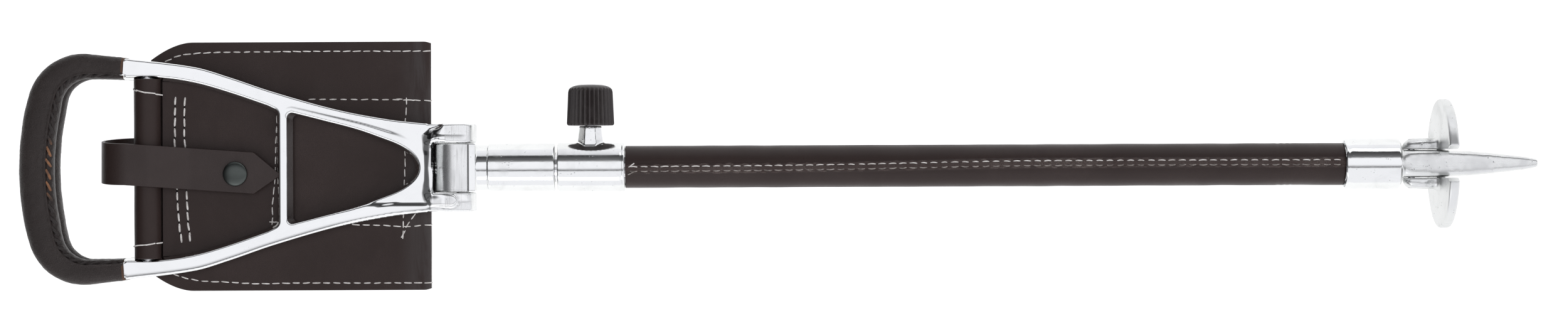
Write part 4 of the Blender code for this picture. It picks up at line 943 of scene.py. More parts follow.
def grip_opening():
    """The D opening inside the grip, as far as the crossbrace."""
    start, end = LEG_INNER[0][0], LEG_INNER[-1][0]
    leg = leg_edge(LEG_INNER, start + 0.0035, end, 40)
    foot = (-BRACE_REACH, float(smooth_height(LEG_INNER, start)) - 0.0012)
    corner = rounded([(-BRACE_REACH, 0.0), foot, leg[1]], [0.0038], 10)
    shoulder = [(-GRIP_START + 0.0006, arm_middle(GRIP_START) - BAR_WIDTH / 2)]
    return mirrored(corner[:-1] + leg[1:] + shoulder + bar_loop(-BAR_WIDTH / 2))


def triangle_opening():
    """The opening between the crossbrace and the web, at the outer face."""
    left = BRACE_REACH - BRACE_WIDTH
    start = TRIANGLE_EDGE[0]
    slope = (TRIANGLE_EDGE[1][1] - start[1]) / (TRIANGLE_EDGE[1][0] - start[0])
    run = (start[0] - TRIANGLE_END) * 0.6
    nose = np.array([(TRIANGLE_END, 0.0), (TRIANGLE_END, start[1] * 0.4),
                     (start[0] - run, start[1] - slope * run), start])
    half = []
    for part in np.linspace(0, 1, 25):
        weights = np.array([(1 - part) ** 3, 3 * part * (1 - part) ** 2, 3 * part ** 2 * (1 - part), part ** 3])
        point = weights @ nose
        half.append((-point[0], point[1]))
    edge = leg_edge(TRIANGLE_EDGE, start[0], left - 0.003, 30)
    corner = (-left, float(smooth_height(TRIANGLE_EDGE, left)))
    half += edge[1:-1] + rounded([edge[-2], corner, (-left, 0.0)], [0.003], 8)[1:]
    return mirrored(half)


def top_rise(x, y, near):
    """How far the frame's outer face stands above its plain at each place."""
    wide = np.abs(y)
    leg = np.clip((near - np.interp(-x, *LEG_RISE_START)) / np.interp(-x, *LEG_RISE_WIDTH), 0, 1)
    web = ease(x, np.interp(wide, *WEB_LEFT), np.interp(wide, *WEB_RIGHT))
    rise = smooth(leg) * np.interp(-x, *LEG_RISE) + np.interp(wide, *WEB_RISE) * web
    over_lug = np.where(y > 0, np.maximum(ease(y, 0.0125, 0.0165), ease(x, -0.0165, -0.0140)), 0)
    rise = rise + UPPER_LUG_RISE * over_lug * ease(x, np.interp(y, *LUG_RISE_START), np.interp(y, *LUG_RISE_END))
    by_lug = ease(x, -0.0225, -0.0125)
    rise = rise + LOWER_LUG_RISE * ease(-y, 0.0105, 0.0150) * by_lug
    rise = rise + LOWER_LEG_RISE * ease(-y, 0.0190, 0.0222) * ease(x, -0.085, -0.055) * (1 - by_lug)
    return rise - 0.00015


def frame_field(points):
    """The front handle frame's shape."""
    x, y, z = points.T
    high = PIN_HEIGHT + FRAME_THICKNESS / 2
    part = np.clip((high - z) / FRAME_THICKNESS, 0, 1)
    flat = np.stack([x, y], axis=1)
    outer = FRAME_SHAPES["outer"](flat)
    start, end = -(BRACE_REACH - BRACE_WIDTH), -TRIANGLE_END
    middle, half_length = (start + end) / 2, (end - start) / 2
    shrink = 1 - TRIANGLE_DRAFT / half_length * part
    shaped = np.stack([middle + (x - middle) / shrink, y * 2 / (1 + shrink)], axis=1)
    hole = FRAME_SHAPES["triangle"](shaped) * shrink
    top = z - high - top_rise(x, y, FRAME_SHAPES["triangle"](flat))
    top = top + FRAME_CROWN * np.clip(1 + outer / CROWN_WIDTH, 0, 1) ** 2
    body = both(outer, PIN_HEIGHT - z - FRAME_THICKNESS / 2, OUTER_ROUND)
    opening = FRAME_SHAPES["grip"](flat) + GRIP_DRAFT * part - GRIP_ROUND
    body = both(body, -opening, GRIP_ROUND)
    body = both(body, -hole, TRIANGLE_ROUND)
    under = PIN_HEIGHT - z - np.interp(x, [-LUG_REACH, -0.0012], [0.003, LUG_RADIUS - 0.0001])
    end = np.hypot(np.maximum(x, 0), z - PIN_HEIGHT) - LUG_RADIUS
    lug = np.maximum(end, np.maximum(under, -LUG_REACH - x))
    lug = both(lug, span_field(np.abs(y), LUG_INNER, LUG_OUTER), LUG_ROUND)
    fillet = np.interp(np.abs(y), [0.0205, 0.0235], [0.0012, 0.0001])
    body = both(either(body, lug, fillet), top, TRIANGLE_ROUND)
    seat_rod = pin_field(points, -ROD_REACH, PIN_HEIGHT, 0)
    inner, away = LEG_INNER_AT_ROD, np.abs(y)
    body = np.minimum(body, both(seat_rod - SPIGOT_BOSS, span_field(away, inner + 0.0002, inner + 0.0065), 0.0004))
    body = both(body, -np.maximum(seat_rod - SPIGOT_BORE, away - inner - SPIGOT_DEPTH), 0.0002)
    pad = np.hypot(x - np.clip(x, -0.0150, -0.0050), y + 0.0184) - 0.0031
    level = np.interp(x, [-0.019, -0.010, -0.004], [0.0052, 0.0068, 0.0074])
    pad = both(pad, np.abs(z - PIN_HEIGHT) - level + np.where(z < PIN_HEIGHT, 0.003, 0), 0.0008)
    body = either(body, pad, 0.0010)
    return both(body, -pin_field(points, 0, PIN_HEIGHT, HINGE_BORE), BORE_ROUND)


def make_frames():
    """Both cast handle frames; the rear one is the front one turned over."""
    FRAME_SHAPES.update(outer=FlatShape(frame_outline()), grip=FlatShape(grip_opening()),
                        triangle=FlatShape(triangle_opening(), margin=0.014))
    front = settle(refined("front_handle_frame", "front_frame", FRAME_VOXEL), frame_field)
    rear = on_side(front.copy(), -1)
    rear.name = "rear_handle_frame"
    for mesh, (_, body, prefix) in zip((front, rear), both_sides("handle")):
        piece = place(f"{prefix}_handle_frame", mesh, body, "polished_aluminium", "polished filed",
                      f"{prefix}_frame", sharp=0)
        second_finish(piece, lambda at: (at[:, 0] > -0.0085) & (np.abs(at[:, 1]) > LUG_INNER - 0.001))


def oval(half_width, half_depth, power, angle):
    """A rounded section: 2 is an ellipse, more is squarer."""
    u, v = np.cos(angle), np.sin(angle)
    return (np.sign(u) * np.abs(u) ** (2 / power) * half_width, np.sign(v) * np.abs(v) ** (2 / power) * half_depth)


def make_grips():
    """The leather sewn round both D bars."""
    half_path = [(-GRIP_START, arm_middle(GRIP_START))] + bar_loop(0.0, 24, 40)
    line, along = even_path(mirrored(half_path), 0.0009)
    across = -normals_of(line)
    from_end = np.minimum(along, along[-1] - along)
    blend = smooth(np.minimum(from_end / (along[-1] * 0.36), 1.0))
    half_width = (GRIP_END_WIDTH + (GRIP_WIDTH - GRIP_END_WIDTH) * blend) / 2
    half_depth = (GRIP_END_DEPTH + (GRIP_DEPTH - GRIP_END_DEPTH) * blend) / 2
    near_seam = GRIP_SEAM + np.linspace(-0.42, 0.42, 29)
    angle = np.concatenate([near_seam, GRIP_SEAM + np.linspace(0.5, math.tau - 0.5, 56)])
    off = (angle - GRIP_SEAM + math.pi) % math.tau - math.pi

    def rings(wide, deep, extra=0.0, turn=angle):
        u, v = oval(1.0, 1.0, GRIP_SQUARENESS, turn)
        sideways = u[None] * (wide[:, None] + extra)
        up = v[None] * (deep[:, None] + extra)
        return np.stack([line[:, :1] + across[:, :1] * sideways, line[:, 1:] + across[:, 1:] * sideways,
                         PIN_HEIGHT + up], axis=2)

    flat = rings(half_width, half_depth).reshape(-1, 3)
    folds = sum(height * lumps(flat, size, seed)
                for height, size, seed in ((0.00009, 0.012, 3), (0.00007, 0.0035, 4), (0.00005, 0.0016, 6)))
    pulls = np.cos(along / GRIP_PITCH * math.tau)[:, None]
    lip = (0.00055 + 0.00012 * pulls) * bell(off - 0.12, 0.10)[None]
    trough = (0.00095 + 0.00030 * pulls) * bell(off + 0.12, 0.14)[None]
    pucker = 0.00030 * pulls * bell(off + 0.36, 0.16)[None]
    edge = 0.0003 * bell(from_end, 0.0012)[:, None]
    outside = rings(half_width, half_depth, folds.reshape(len(line), -1) + lip - trough + pucker - edge)
    even = np.ones(len(line))
    inside = rings(even * (BAR_WIDTH / 2 + GRIP_CLEAR), even * (FRAME_THICKNESS / 2 + GRIP_CLEAR))
    shell = np.concatenate([outside, inside[::-1]])

    lanes = rings(half_width, half_depth, 0.0, GRIP_SEAM + np.array([-0.34, 0.0]))
    facing = np.concatenate([across * 0.6, np.full((len(line), 1), 0.8)], axis=1)
    crossings = []
    for start in np.arange(0.005, along[-1] - 0.007, GRIP_PITCH):
        first, last = np.searchsorted(along, [start, start + 0.0042])
        slant = lanes[last, 0] - lanes[first, 1]
        middle = (lanes[last, 0] + lanes[first, 1]) / 2
        crossings.append((np.array([middle - slant * 0.05, middle + slant * 0.05]), facing[first]))
    for side, body, prefix in both_sides("handle"):
        mesh = skin(f"{prefix}_handle_grip", shell * (1, 1, side), closed_along=True)
        piece = place(f"{prefix}_handle_grip", mesh, body, "grip_leather", "grip_leather cut_edge",
                      f"{prefix}_grip", sharp=50)
        second_finish(piece, lambda at: at[:, 0] > -GRIP_START - 0.0006)
        rows = [(row * (1, 1, side), out * (1, 1, side)) for row, out in crossings]
        sew(f"{prefix}_grip_stitches", body, "grip_leather", rows, "brown_thread", pitch=0.006,
            stitch_length=0.0054, thread_radius=0.00080, crown=0.0003)


# Seat sling

def photo_spot(px, py, height):
    """A photograph's pixel as a place on the stick, for a surface at a height over the axis."""
    near = 1 - height / PHOTO_DISTANCE
    x = (px - PHOTO_WIDTH / 2) * PHOTO_SCALE * near + PHOTO_CENTRE[0]
    middle = PHOTO_AXIS[1] - (px - PHOTO_AXIS[0]) * PHOTO_SLOPE
    return x - PIN_X, (middle - py) * PHOTO_SCALE * near


def band(name, line, normal, middles, halves, thick, columns, waves, seed):
    """A strip of leather along a line in XZ, with its middle and half width at each point."""
    part, edge = np.linspace(-1, 1, columns), 0.3
    rings = []
    for spot, out, middle, half in zip(line, normal, middles, halves):
        inner = 1 - 0.10 * thick / half
        side = [(inner, 0.5), (1, 0.5 - edge), (1, edge - 0.5), (inner, -0.5)]
        top = [(p * (1 - 0.3 * thick / half), 0.5) for p in part]
        ring = top + side + [(u, -0.5) for u, _ in top[::-1]] + [(-u, v) for u, v in side[::-1]]
        rings.append([(spot[0] + out[0] * v * thick, middle + u * half, spot[1] + out[1] * v * thick)
                      for u, v in ring])
    rings = np.array(rings)
    flat = rings.reshape(-1, 3)
    shift = waves * lumps(flat * (1, 1, 0.2), 0.045, seed).reshape(rings.shape[:2])
    rings[:, :, 0] += normal[:, :1] * shift
    rings[:, :, 2] += normal[:, 1:] * shift
    return skin(name, rings)


def normals_of(line):
    """Left-hand normals of a flat line."""
    run = np.gradient(line, axis=0)
    run /= np.linalg.norm(run, axis=1)[:, None]
    return np.stack([run[:, 1], -run[:, 0]], axis=1)


def sheet_half_width(reach):
    """Half width of the seat sheet along the stick."""
    corner = ROD_REACH - SHEET_SHOULDER
    part = np.clip((reach - corner) / SHEET_SHOULDER, 0, 1)
    wide = SHEET_HALF_WIDTH - SHEET_SHOULDER_RISE * part ** 1.8
    clip = np.clip((SHEET_FOLD + 0.004 - reach) / 0.004, 0, 1)
    return wide - 0.0012 * clip ** 2


def sheet_path():
    """The front half's middle line: from the fold's apex, flat, and round the seat rod."""
    middle = SHEET_GAP + SHEET_THICKNESS / 2
    turn = -SHEET_FOLD - SHEET_GAP - SHEET_THICKNESS
    path = arc((turn, 0), middle, 0, 90, 10)
    roll = ROLL_RADIUS - SHEET_THICKNESS / 2
    low = PIN_HEIGHT - roll
    path += [(turn - 0.002, middle), (-ROD_REACH + 0.006, middle), (-ROD_REACH + 0.003, (middle + low) / 2)]
    path += arc((-ROD_REACH, PIN_HEIGHT), roll, 270, -32, 60)
    return even_path(path, 0.0009)


def make_sheets():
    """The seat's one sheet as its two halves, each round its own rod."""
    line, along = sheet_path()
    reach = -line[:, 0]
    halves = sheet_half_width(reach)
    flat_end = along[np.argmax(reach > ROD_REACH - 0.0015)]
    narrow = smooth(np.clip((along - flat_end) / 0.003, 0, 1))
    halves = halves + (ROLL_HALF_WIDTH - halves) * narrow
    middles = 0.0012 * (1 - narrow)
    for side, body, prefix in both_sides("sling"):
        mesh = on_side(band(f"{prefix}_seat_sheet", line, -normals_of(line), middles, halves, SHEET_THICKNESS, 121,
                            0.00010, 5 + side), side)
        nodes = ("front_seat_panel", "seat_fold") if side > 0 else ("rear_seat_panel",)
        piece = place(f"{prefix}_seat_sheet", mesh, body, "seat_leather", "seat_leather", *nodes, sharp=50)


def make_patches():
    """The outer patches sewn on both seat ends."""
    start, end = PATCH_REACHES
    reach = np.linspace(start, end, 90)
    curl = np.clip((reach - start + 0.007) / 0.007, 0, 1)
    line = np.stack([-reach, PATCH_LOW + PATCH_THICKNESS / 2 + 0.0014 * curl ** 2], axis=1)
    halves = np.minimum(PATCH_HALF_WIDTH, [arm_middle(r) for r in reach])
    for side, body, prefix in both_sides("sling"):
        mesh = on_side(band(f"{prefix}_sewn_patch", line, normals_of(line), 0 * reach, halves, PATCH_THICKNESS, 81,
                            0.00008, 11 + side), side)
        piece = place(f"{prefix}_sewn_patch", mesh, body, "seat_leather", "seat_leather",
                      f"{prefix}_end_patch", sharp=50)


def strap_half(end_reach, height):
    """The strap's middle line from its end, up over the roll to the bend's middle."""
    clear = ROLL_RADIUS + SHEET_GAP + STRAP_THICKNESS / 2
    top = PIN_HEIGHT + clear
    run, drop = 0.0225, PIN_HEIGHT - height
    rise = math.asin(clear / math.hypot(run, drop)) + math.atan2(drop, run)
    climb = ROD_REACH - run + (top - height) / math.tan(rise)
    corners = [(-end_reach, height), (run - ROD_REACH, height), (-climb, top), (-STRAP_BEND, top),
               (-STRAP_BEND, 0.00015)]
    return rounded(corners, [0.012, clear, top - 0.00016], 24)


def make_strap():
    """The closing strap in one piece, from its point to its sewn end behind, and its stud's cap."""
    front = strap_half(STRAP_TIP, STRAP_HEIGHT)
    back = strap_half(STRAP_BACK_END, PATCH_LOW + PATCH_THICKNESS + SHEET_GAP + STRAP_THICKNESS / 2)
    line, along = even_path(front[:-1] + [(x, -z) for x, z in back[::-1]], 0.0010)
    low_front = along[int(np.argmin(line[:, 0]))] - 0.024
    at_point, at_front, behind = STRAP_SHIFTS
    over = smooth(np.clip((along - low_front) / 0.052, 0, 1))
    middles = np.where(along < low_front, at_point + (at_front - at_point) / low_front * along,
                       at_front + (behind - at_front) * over)
    middles = np.where(along > low_front + 0.052, behind - 0.02 * (along - low_front - 0.052), middles)
    halves = 0.0009 + (STRAP_WIDTH / 2 - 0.0009) * np.clip(along / STRAP_POINT, 0, 1)
    mesh = band("closing_strap", line, normals_of(line), middles, halves, STRAP_THICKNESS, 25, 0.00015, 21)
    piece = place("closing_strap", mesh, "", "seat_leather", "strap_leather", "strap_flap", "strap_back", sharp=50)
    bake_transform(piece)

    top = STRAP_HEIGHT + STRAP_THICKNESS / 2
    profile = [(top - 0.0002, 0.0), (top - 0.0002, 0.0058), (top + 0.0002, 0.0066), (top + 0.0006, 0.00692),
               (top + 0.0010, 0.00690)]
    profile += [(top + 0.0010 + 0.0020 * math.sin(a), 0.0069 * math.cos(a)) for a in np.linspace(0.12, 1.52, 14)]
    profile.append((top + 0.0030, 0.0))
    cap = lathe("press_stud_cap", profile, 2, (-SNAP_REACH, SNAP_SHIFT, 0), 72)
    place("press_stud_cap", cap, "strap", "gunmetal", "gunmetal", "snap_cap")


# Shaft

def seam_angle(part):
    """The shaft seam's angle from +Y towards +Z."""
    return np.radians(np.interp(part, SEAM_AT, SEAM_TURN))


def along_leather(at):
    """How far along the shaft's leather a station is, as a part of its length."""
    return (at - LEATHER_START) / (LEATHER_END - LEATHER_START)


def make_shaft_leather():
    """The leather sewn round the outer tube, drawn up into a raised seam."""
    length = LEATHER_END - LEATHER_START
    part = np.linspace(0, 1, 380)
    lead = np.sort(np.concatenate([np.linspace(-0.34, 0.34, 35), np.linspace(0.40, math.tau - 0.40, 92)]))
    angle = seam_angle(part)[:, None] + lead[None]
    x = np.repeat((LEATHER_START + length * part)[:, None], len(lead), axis=1)
    across = np.abs((lead + math.pi) % math.tau - math.pi) * SHAFT_RADIUS
    pulls = 0.5 + 0.5 * np.cos((part * length - 0.0016) / SHAFT_PITCH * math.tau)[:, None]
    rib = 0.00060 * bell(across, 0.0024, 4)[None]
    pinch = bell(across - SEAM_HALF, 0.00042)[None] * (0.00030 + 0.00022 * pulls)
    pleat = 0.00016 * bell(across - 0.0021, 0.0008)[None] * (1 - pulls)
    slit = 0.00012 * bell(across, 0.0003)[None]
    radius = SHAFT_RADIUS + rib - pinch + pleat - slit

    def turned(reach):
        return np.stack([x, reach * np.cos(angle), reach * np.sin(angle)], axis=2)

    flat = turned(radius).reshape(-1, 3)
    radius = radius + 0.00008 * lumps(flat, 0.02, 31).reshape(radius.shape)
    radius = radius + 0.00011 * bell(across, 0.0029, 4)[None] * lumps(flat, 0.0026, 32).reshape(radius.shape)
    for crease, size in ((0.909, 1.0), (0.918, 0.8), (0.926, 0.6)):
        radius = radius - 0.00020 * size * bell((part[:, None] - crease) * length, 0.0009)
    rings = np.concatenate([turned(radius), turned(np.full_like(radius, OUTER_TUBE_BORE))[::-1]])
    piece = place("shaft_leather", skin("shaft_leather", rings, closed_along=True), "shaft", "seat_leather",
                  "tube_leather seam_leather", "tube_leather", sharp=0)

    def on_seam(at):
        off = np.abs(np.arctan2(at[:, 2], at[:, 1]) - seam_angle(along_leather(at[:, 0])))
        return off * SHAFT_RADIUS < 0.0024 + 0.0006 * lumps(at, 0.004, 33)

    second_finish(piece, on_seam)


def head_field(points):
    """The head block: barrel, flange, neck and socket."""
    x, y, z = points.T
    depth = PIN_HEIGHT + HEAD_PROUD
    nose = np.hypot(np.minimum(x + BARREL_NOSE, 0), z) - depth
    block = np.maximum(np.maximum(nose, np.abs(z) - depth), x - BARREL_END)
    barrel = both(block, np.abs(y) - BARREL_HALF_WIDTH, 0.0012)
    flange = both(both(np.abs(y) - FLANGE_HALF_WIDTH, np.abs(z) - depth - 0.0005, 0.0009),
                  span_field(x, FLANGE_START, NECK_START), 0.0005)
    neck = both(shaft_field(points, NECK_RADIUS), span_field(x, FLANGE_START + 0.0013, SOCKET_START + 0.001),
                0.0006)
    socket = both(shaft_field(points, SOCKET_RADIUS), span_field(x, SOCKET_START, SOCKET_END), 0.0009)
    body = either(either(barrel, flange, 0.0008), either(neck, socket, 0.0004), 0.0008)
    body = both(body, -both(shaft_field(points, INNER_TUBE_BORE), SOCKET_FLOOR - x), 0.0004)
    for height in (PIN_HEIGHT, -PIN_HEIGHT):
        body = both(body, -pin_field(points, 0, height, HINGE_BORE), BORE_ROUND)
    return body


def collar_field(points):
    """The clamp collar with its faceted boss."""
    x, y, z = points.T
    ring = both(shaft_field(points, COLLAR_RADIUS), span_field(x, COLLAR_START, COLLAR_END), 0.0008)
    floor, start, end = COLLAR_GROOVE
    groove = both(-shaft_field(points, floor), span_field(x, COLLAR_END - start, COLLAR_END - end), 0.0001)
    ring = both(ring, -groove, 0.0002)
    angles = np.radians(np.arange(8) * 45.0)
    away = np.max([(x - KNOB_AT) * np.cos(a) + z * np.sin(a) for a in angles], axis=0)
    size = np.interp(y, *COLLAR_BOSS) * math.cos(math.radians(22.5))
    boss = both(away - size, span_field(y, *BOSS_REACHES), 0.0006)
    bore = np.where(x < COLLAR_START + 0.012, 0.0100, INNER_TUBE_BORE)
    bore = np.where(x > COLLAR_START + 0.0257, OUTER_TUBE_BORE, bore)
    body = both(either(ring, boss, 0.0012), -(np.hypot(y, z) - bore), 0.0003)
    return both(body, -both(pin_field(points, KNOB_AT, 0, SCREW_BORE), -y), 0.0002)


def plate_field(points):
    """The round ground plate with its slot and its two ears, on the folded pivot."""
    x, y, z = points.T
    face = PIVOT_AT + PLATE_AT
    disc = both(shaft_field(points, PLATE_RADIUS), span_field(x, face, face + PLATE_THICKNESS), 0.0015)
    arm = np.hypot(np.minimum(x - PIVOT_AT, 0), z) - EAR_RADIUS
    arm = both(arm, x - face - PLATE_THICKNESS / 2)
    bow = EAR_BOW * np.clip((PIVOT_AT + 0.0065 - x) / 0.0117, 0, 1) ** 2
    ears = both(arm, np.abs(y) - SLOT_HALF - EAR_WIDTH + bow, 0.0040)
    ears = both(ears, SLOT_HALF - 0.0005 - np.abs(y), 0.0016)
    body = either(disc, ears + 0.00015 * lumps(points, 0.006, 51), 0.0034)
    slot = np.maximum(np.abs(y) - SLOT_HALF - np.clip((z - 0.031) * 0.5, 0, 0.003), -SLOT_HALF - z)
    body = both(body, -slot, 0.0007)
    return both(body, -pin_field(points, PIVOT_AT, 0, PIVOT_BORE), 0.0002)


def make_castings():
    """Head block, clamp collar and ground plate."""
    castings = (
        ("cast_head", "head_block", "head", head_field, "cast filed", lambda at: at[:, 0] < FLANGE_START + 0.0001),
        ("cast_collar", "clamp_collar", "shaft", collar_field, "cast", None),
        ("cast_ground_plate", "ground_plate", "ground_plate", plate_field, "dull_cast pitted",
         lambda at: at[:, 0] < PIVOT_AT + 0.0125 + 0.001 * lumps(at, 0.004, 52)),
    )
    for name, node, body, field, finishes, where in castings:
        mesh = settle(refined(name, node, CAST_VOXEL), field, reach=0.004)
        piece = place(name, mesh, body, "polished_aluminium", finishes, node, sharp=0)
        if where:
            second_finish(piece, where)


def make_ferrule():
    """The end sleeve."""
    radius, start, end, edge = FERRULE_RADIUS, FERRULE_START, FERRULE_END, FERRULE_EDGE
    profile = [(start + 0.0016, 0.0128), (start + 0.0004, 0.0131), (start, 0.0137), (start + 0.0001, 0.01425),
               (start + 0.0006, 0.0145), (start + 0.0013, 0.01448), (start + 0.0019, 0.0143),
               (start + 0.0030, 0.0143)]
    profile += [(float(x), radius - 0.0001) for x in np.linspace(start + 0.0045, end - 0.0040, 10)]
    profile += [(end - edge + edge * math.sin(a), radius - edge + edge * math.cos(a))
                for a in np.linspace(0, math.pi / 2, 8)]
    profile += [(end, 0.0068), (end - 0.006, 0.0068), (end - 0.006, OUTER_TUBE_BORE),
                (start + 0.0035, OUTER_TUBE_BORE), (start + 0.0035, 0.0126)]
    place("end_ferrule", lathe("end_ferrule", profile, 0, steps=128, closed=True), "shaft", "polished_aluminium",
          "cast", "ferrule", sharp=35)


def make_spike():
    """The forged spike, square in section with a ridge down its taper."""
    stations = np.array([
        (0.0, 0.00885, 2.0), (0.0009, 0.0086, 2.2), (0.0022, 0.0079, 2.8), (0.005, 0.00775, 3.8),
        (0.008, 0.00775, 4.4), (0.019, 0.0076, 5.0), (0.0267, 0.0074, 5.0), (0.0394, 0.0068, 4.8),
        (0.0521, 0.00574, 4.4), (0.0625, 0.0045, 4.0), (0.0700, 0.0036, 3.6), (0.0750, 0.0028, 3.2),
        (0.0770, 0.0024, 3.0), (0.0778, 0.0019, 2.8), (0.0781, 0.0012, 2.4)])
    places, sizes, powers = stations.T
    at = np.unique(np.concatenate([np.linspace(0, places[-1], 140), places]))
    angle = np.linspace(0, math.tau, 96, endpoint=False)
    rings = np.array([
        np.stack([np.full(len(angle), SPIKE_START + a), *oval(s, s, p, angle)], axis=1)
        for a, s, p in zip(at, np.interp(at, places, sizes), np.interp(at, places, powers))])
    flat = rings.reshape(-1, 3)
    away = flat[:, 1:] / np.linalg.norm(flat[:, 1:], axis=1)[:, None]
    flat[:, 1:] += away * (0.00007 * lumps(flat, 0.006, 41))[:, None]
    mesh = skin("ground_spike", flat.reshape(rings.shape))
    place("ground_spike", mesh, "shaft", "spike_steel", "spike", "spike", sharp=35)


def make_knob():
    """The fluted clamp knob."""
    low, high = KNOB_REACHES
    shoulder = high - 0.0031
    levels = [(low + 0.0003, 0.0118, 0.0), (low, 0.0125, 0.2), (low + 0.0003, 0.0131, 0.6),
              (low + 0.0012, KNOB_RADIUS, 1.0)]
    levels += [(float(h), float(np.interp(h, [low, shoulder], [KNOB_RADIUS, KNOB_TOP_RADIUS])), 1.0)
               for h in np.linspace(low + 0.002, shoulder - 0.0012, 14)]
    dome = np.linspace(0, math.pi / 2, 14)
    levels += [(shoulder - 0.0006 + 0.0037 * math.sin(a), 0.0125 * math.cos(a) ** 0.62 if a < 1.56 else 0.0004,
                max(1 - a / 0.55, 0.0)) for a in dome]
    flutes, steps = 30, 240
    angle = np.arange(steps) / steps * math.tau
    flute = 1 - np.abs(np.sin(angle * flutes / 2)) ** 1.6
    rings = []
    for height, radius, depth in levels:
        reach = radius - FLUTE_DEPTH * depth * flute
        rings.append(np.stack([KNOB_AT + reach * np.cos(angle), np.full(steps, height), reach * np.sin(angle)],
                              axis=1))
    mesh = skin("fluted_knob", np.array(rings))
    place("fluted_knob", mesh, "clamp_knob", "knob_plastic", "knob", "clamp_knob", sharp=45)


def dress_kept_nodes():
    """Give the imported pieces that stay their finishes."""
    kept = {
        "tube": "outer_tube inner_tube",
        "nylon": "collar_bush guide_ring inner_tube_plug clamp_pad",
        "gunmetal": "strap_rivet_1 strap_rivet_2",
        "steel": "head_rivet front_hinge_pin rear_hinge_pin ferrule_rivet plate_pivot_pin front_seat_rod"
                 " rear_seat_rod snap_stud stud_rivet snap_socket clamp_screw",
    }
    for key, nodes in kept.items():
        for node in nodes.split():
            item = frame["nodes"][node]
            if item.material_slots:
                item.material_slots[0].material = FINISH[key]
            else:
                item.data.materials.append(FINISH[key])


# Sewing

def stitch_tree():
    """Threads laid along rows: each lies across the row's points, on the surface normal kept there."""
    tree = bpy.data.node_groups.new("Sewn rows", "GeometryNodeTree")
    tree.is_modifier = True
    for label, kind, value in (
            ("Geometry", "Geometry", None), ("Pitch", "Float", 0.0056), ("Stitch Length", "Float", 0.0042),
            ("Thread Radius", "Float", 0.00037), ("Crown", "Float", 0.0003), ("Thread", "Material", None),
            ("Seed", "Int", 7)):
        socket = tree.interface.new_socket(label, in_out="INPUT", socket_type=f"NodeSocket{kind}")
        if value is not None:
            socket.default_value = value
    tree.interface.new_socket("Geometry", in_out="OUTPUT", socket_type="NodeSocketGeometry")
    given = tree.nodes.new("NodeGroupInput").outputs
    add = partial(add_node, tree)
    curve = add("GeometryNodeMeshToCurve", {"Mesh": given["Geometry"]})
    rows = add("GeometryNodeResampleCurve", {"Curve": curve.outputs[0], "Length": given["Pitch"]}, mode="LENGTH")
    half = times(tree, given["Stitch Length"], 0.5)
    dip = times(tree, given["Thread Radius"], -0.9)
    arch = add("GeometryNodeCurveQuadraticBezier", {
        "Resolution": 5, "Start": joined(tree, X=times(tree, half, -1.0), Z=dip),
        "Middle": joined(tree, Z=times(tree, given["Crown"], 2.0)), "End": joined(tree, X=half, Z=dip)})
    ring = add("GeometryNodeCurvePrimitiveCircle", {"Resolution": 6, "Radius": given["Thread Radius"]}, mode="RADIUS")
    thread = add("GeometryNodeCurveToMesh", {"Curve": arch.outputs[0], "Profile Curve": ring.outputs[0],
                                             "Fill Caps": True})
    tangent = add("GeometryNodeInputTangent")
    stored = add("GeometryNodeInputNamedAttribute", {"Name": "surface_normal"}, data_type="FLOAT_VECTOR")
    first = add("FunctionNodeAlignRotationToVector", {"Vector": tangent.outputs[0]}, axis="X")
    second = add("FunctionNodeAlignRotationToVector", {"Rotation": first.outputs[0], "Vector": stored.outputs[0]},
                 axis="Z", pivot_axis="X")
    seed = given["Seed"]
    sway = add("FunctionNodeRandomValue", {"Seed": seed, "Min": (0.0, 0.0, -0.09), "Max": (0.0, 0.0, 0.09)},
               data_type="FLOAT_VECTOR")
    euler = add("FunctionNodeEulerToRotation", {"Euler": sway.outputs[0]})
    turned = add("FunctionNodeRotateRotation", {"Rotation": second.outputs[0], "Rotate By": euler.outputs[0]},
                 rotation_space="LOCAL")
    stretch = add("FunctionNodeRandomValue", {"Seed": seed, "Min": (0.88, 0.92, 0.92), "Max": (1.10, 1.08, 1.08)},
                  data_type="FLOAT_VECTOR")
    placed = add("GeometryNodeInstanceOnPoints", {"Points": rows.outputs[0], "Instance": thread.outputs[0],
                                                  "Rotation": turned.outputs[0], "Scale": stretch.outputs[0]})
    real = add("GeometryNodeRealizeInstances", {"Geometry": placed.outputs[0]})
    soft = add("GeometryNodeSetShadeSmooth", {"Geometry": real.outputs[0]})
    dressed = add("GeometryNodeSetMaterial", {"Geometry": soft.outputs[0], "Material": given["Thread"]})
    tree.links.new(dressed.outputs[0], tree.nodes.new("NodeGroupOutput").inputs[0])
    return tree


def sew(name, body, slot, rows, finish="thread", **values):
    """Lay stitches along rows of (points, normals) and put them on a body."""
    points, edges, normals = [], [], []
    for line, out in rows:
        line = np.asarray(line, float)
        edges += [(len(points) + k, len(points) + k + 1) for k in range(len(line) - 1)]
        points += line.tolist()
        normals += np.broadcast_to(np.asarray(out, float), line.shape).tolist()
    mesh = bpy.data.meshes.new(name)
    mesh.from_pydata(points, edges, [])
    stored = mesh.attributes.new("surface_normal", "FLOAT_VECTOR", "POINT")
    stored.data.foreach_set("vector", np.array(normals, float).ravel())
    item = add_object(name, mesh)
    sewing = item.modifiers.new("Sewn rows", "NODES")
    sewing.node_group = FINISH["sewing"]
    values = {"Thread": FINISH[finish], **titled(values)}
    for socket in sewing.node_group.interface.items_tree:
        if socket.in_out == "INPUT" and socket.name in values:
            sewing[socket.identifier] = values[socket.name]
    place(name, baked(item, name), body, slot, finish, sharp=0)


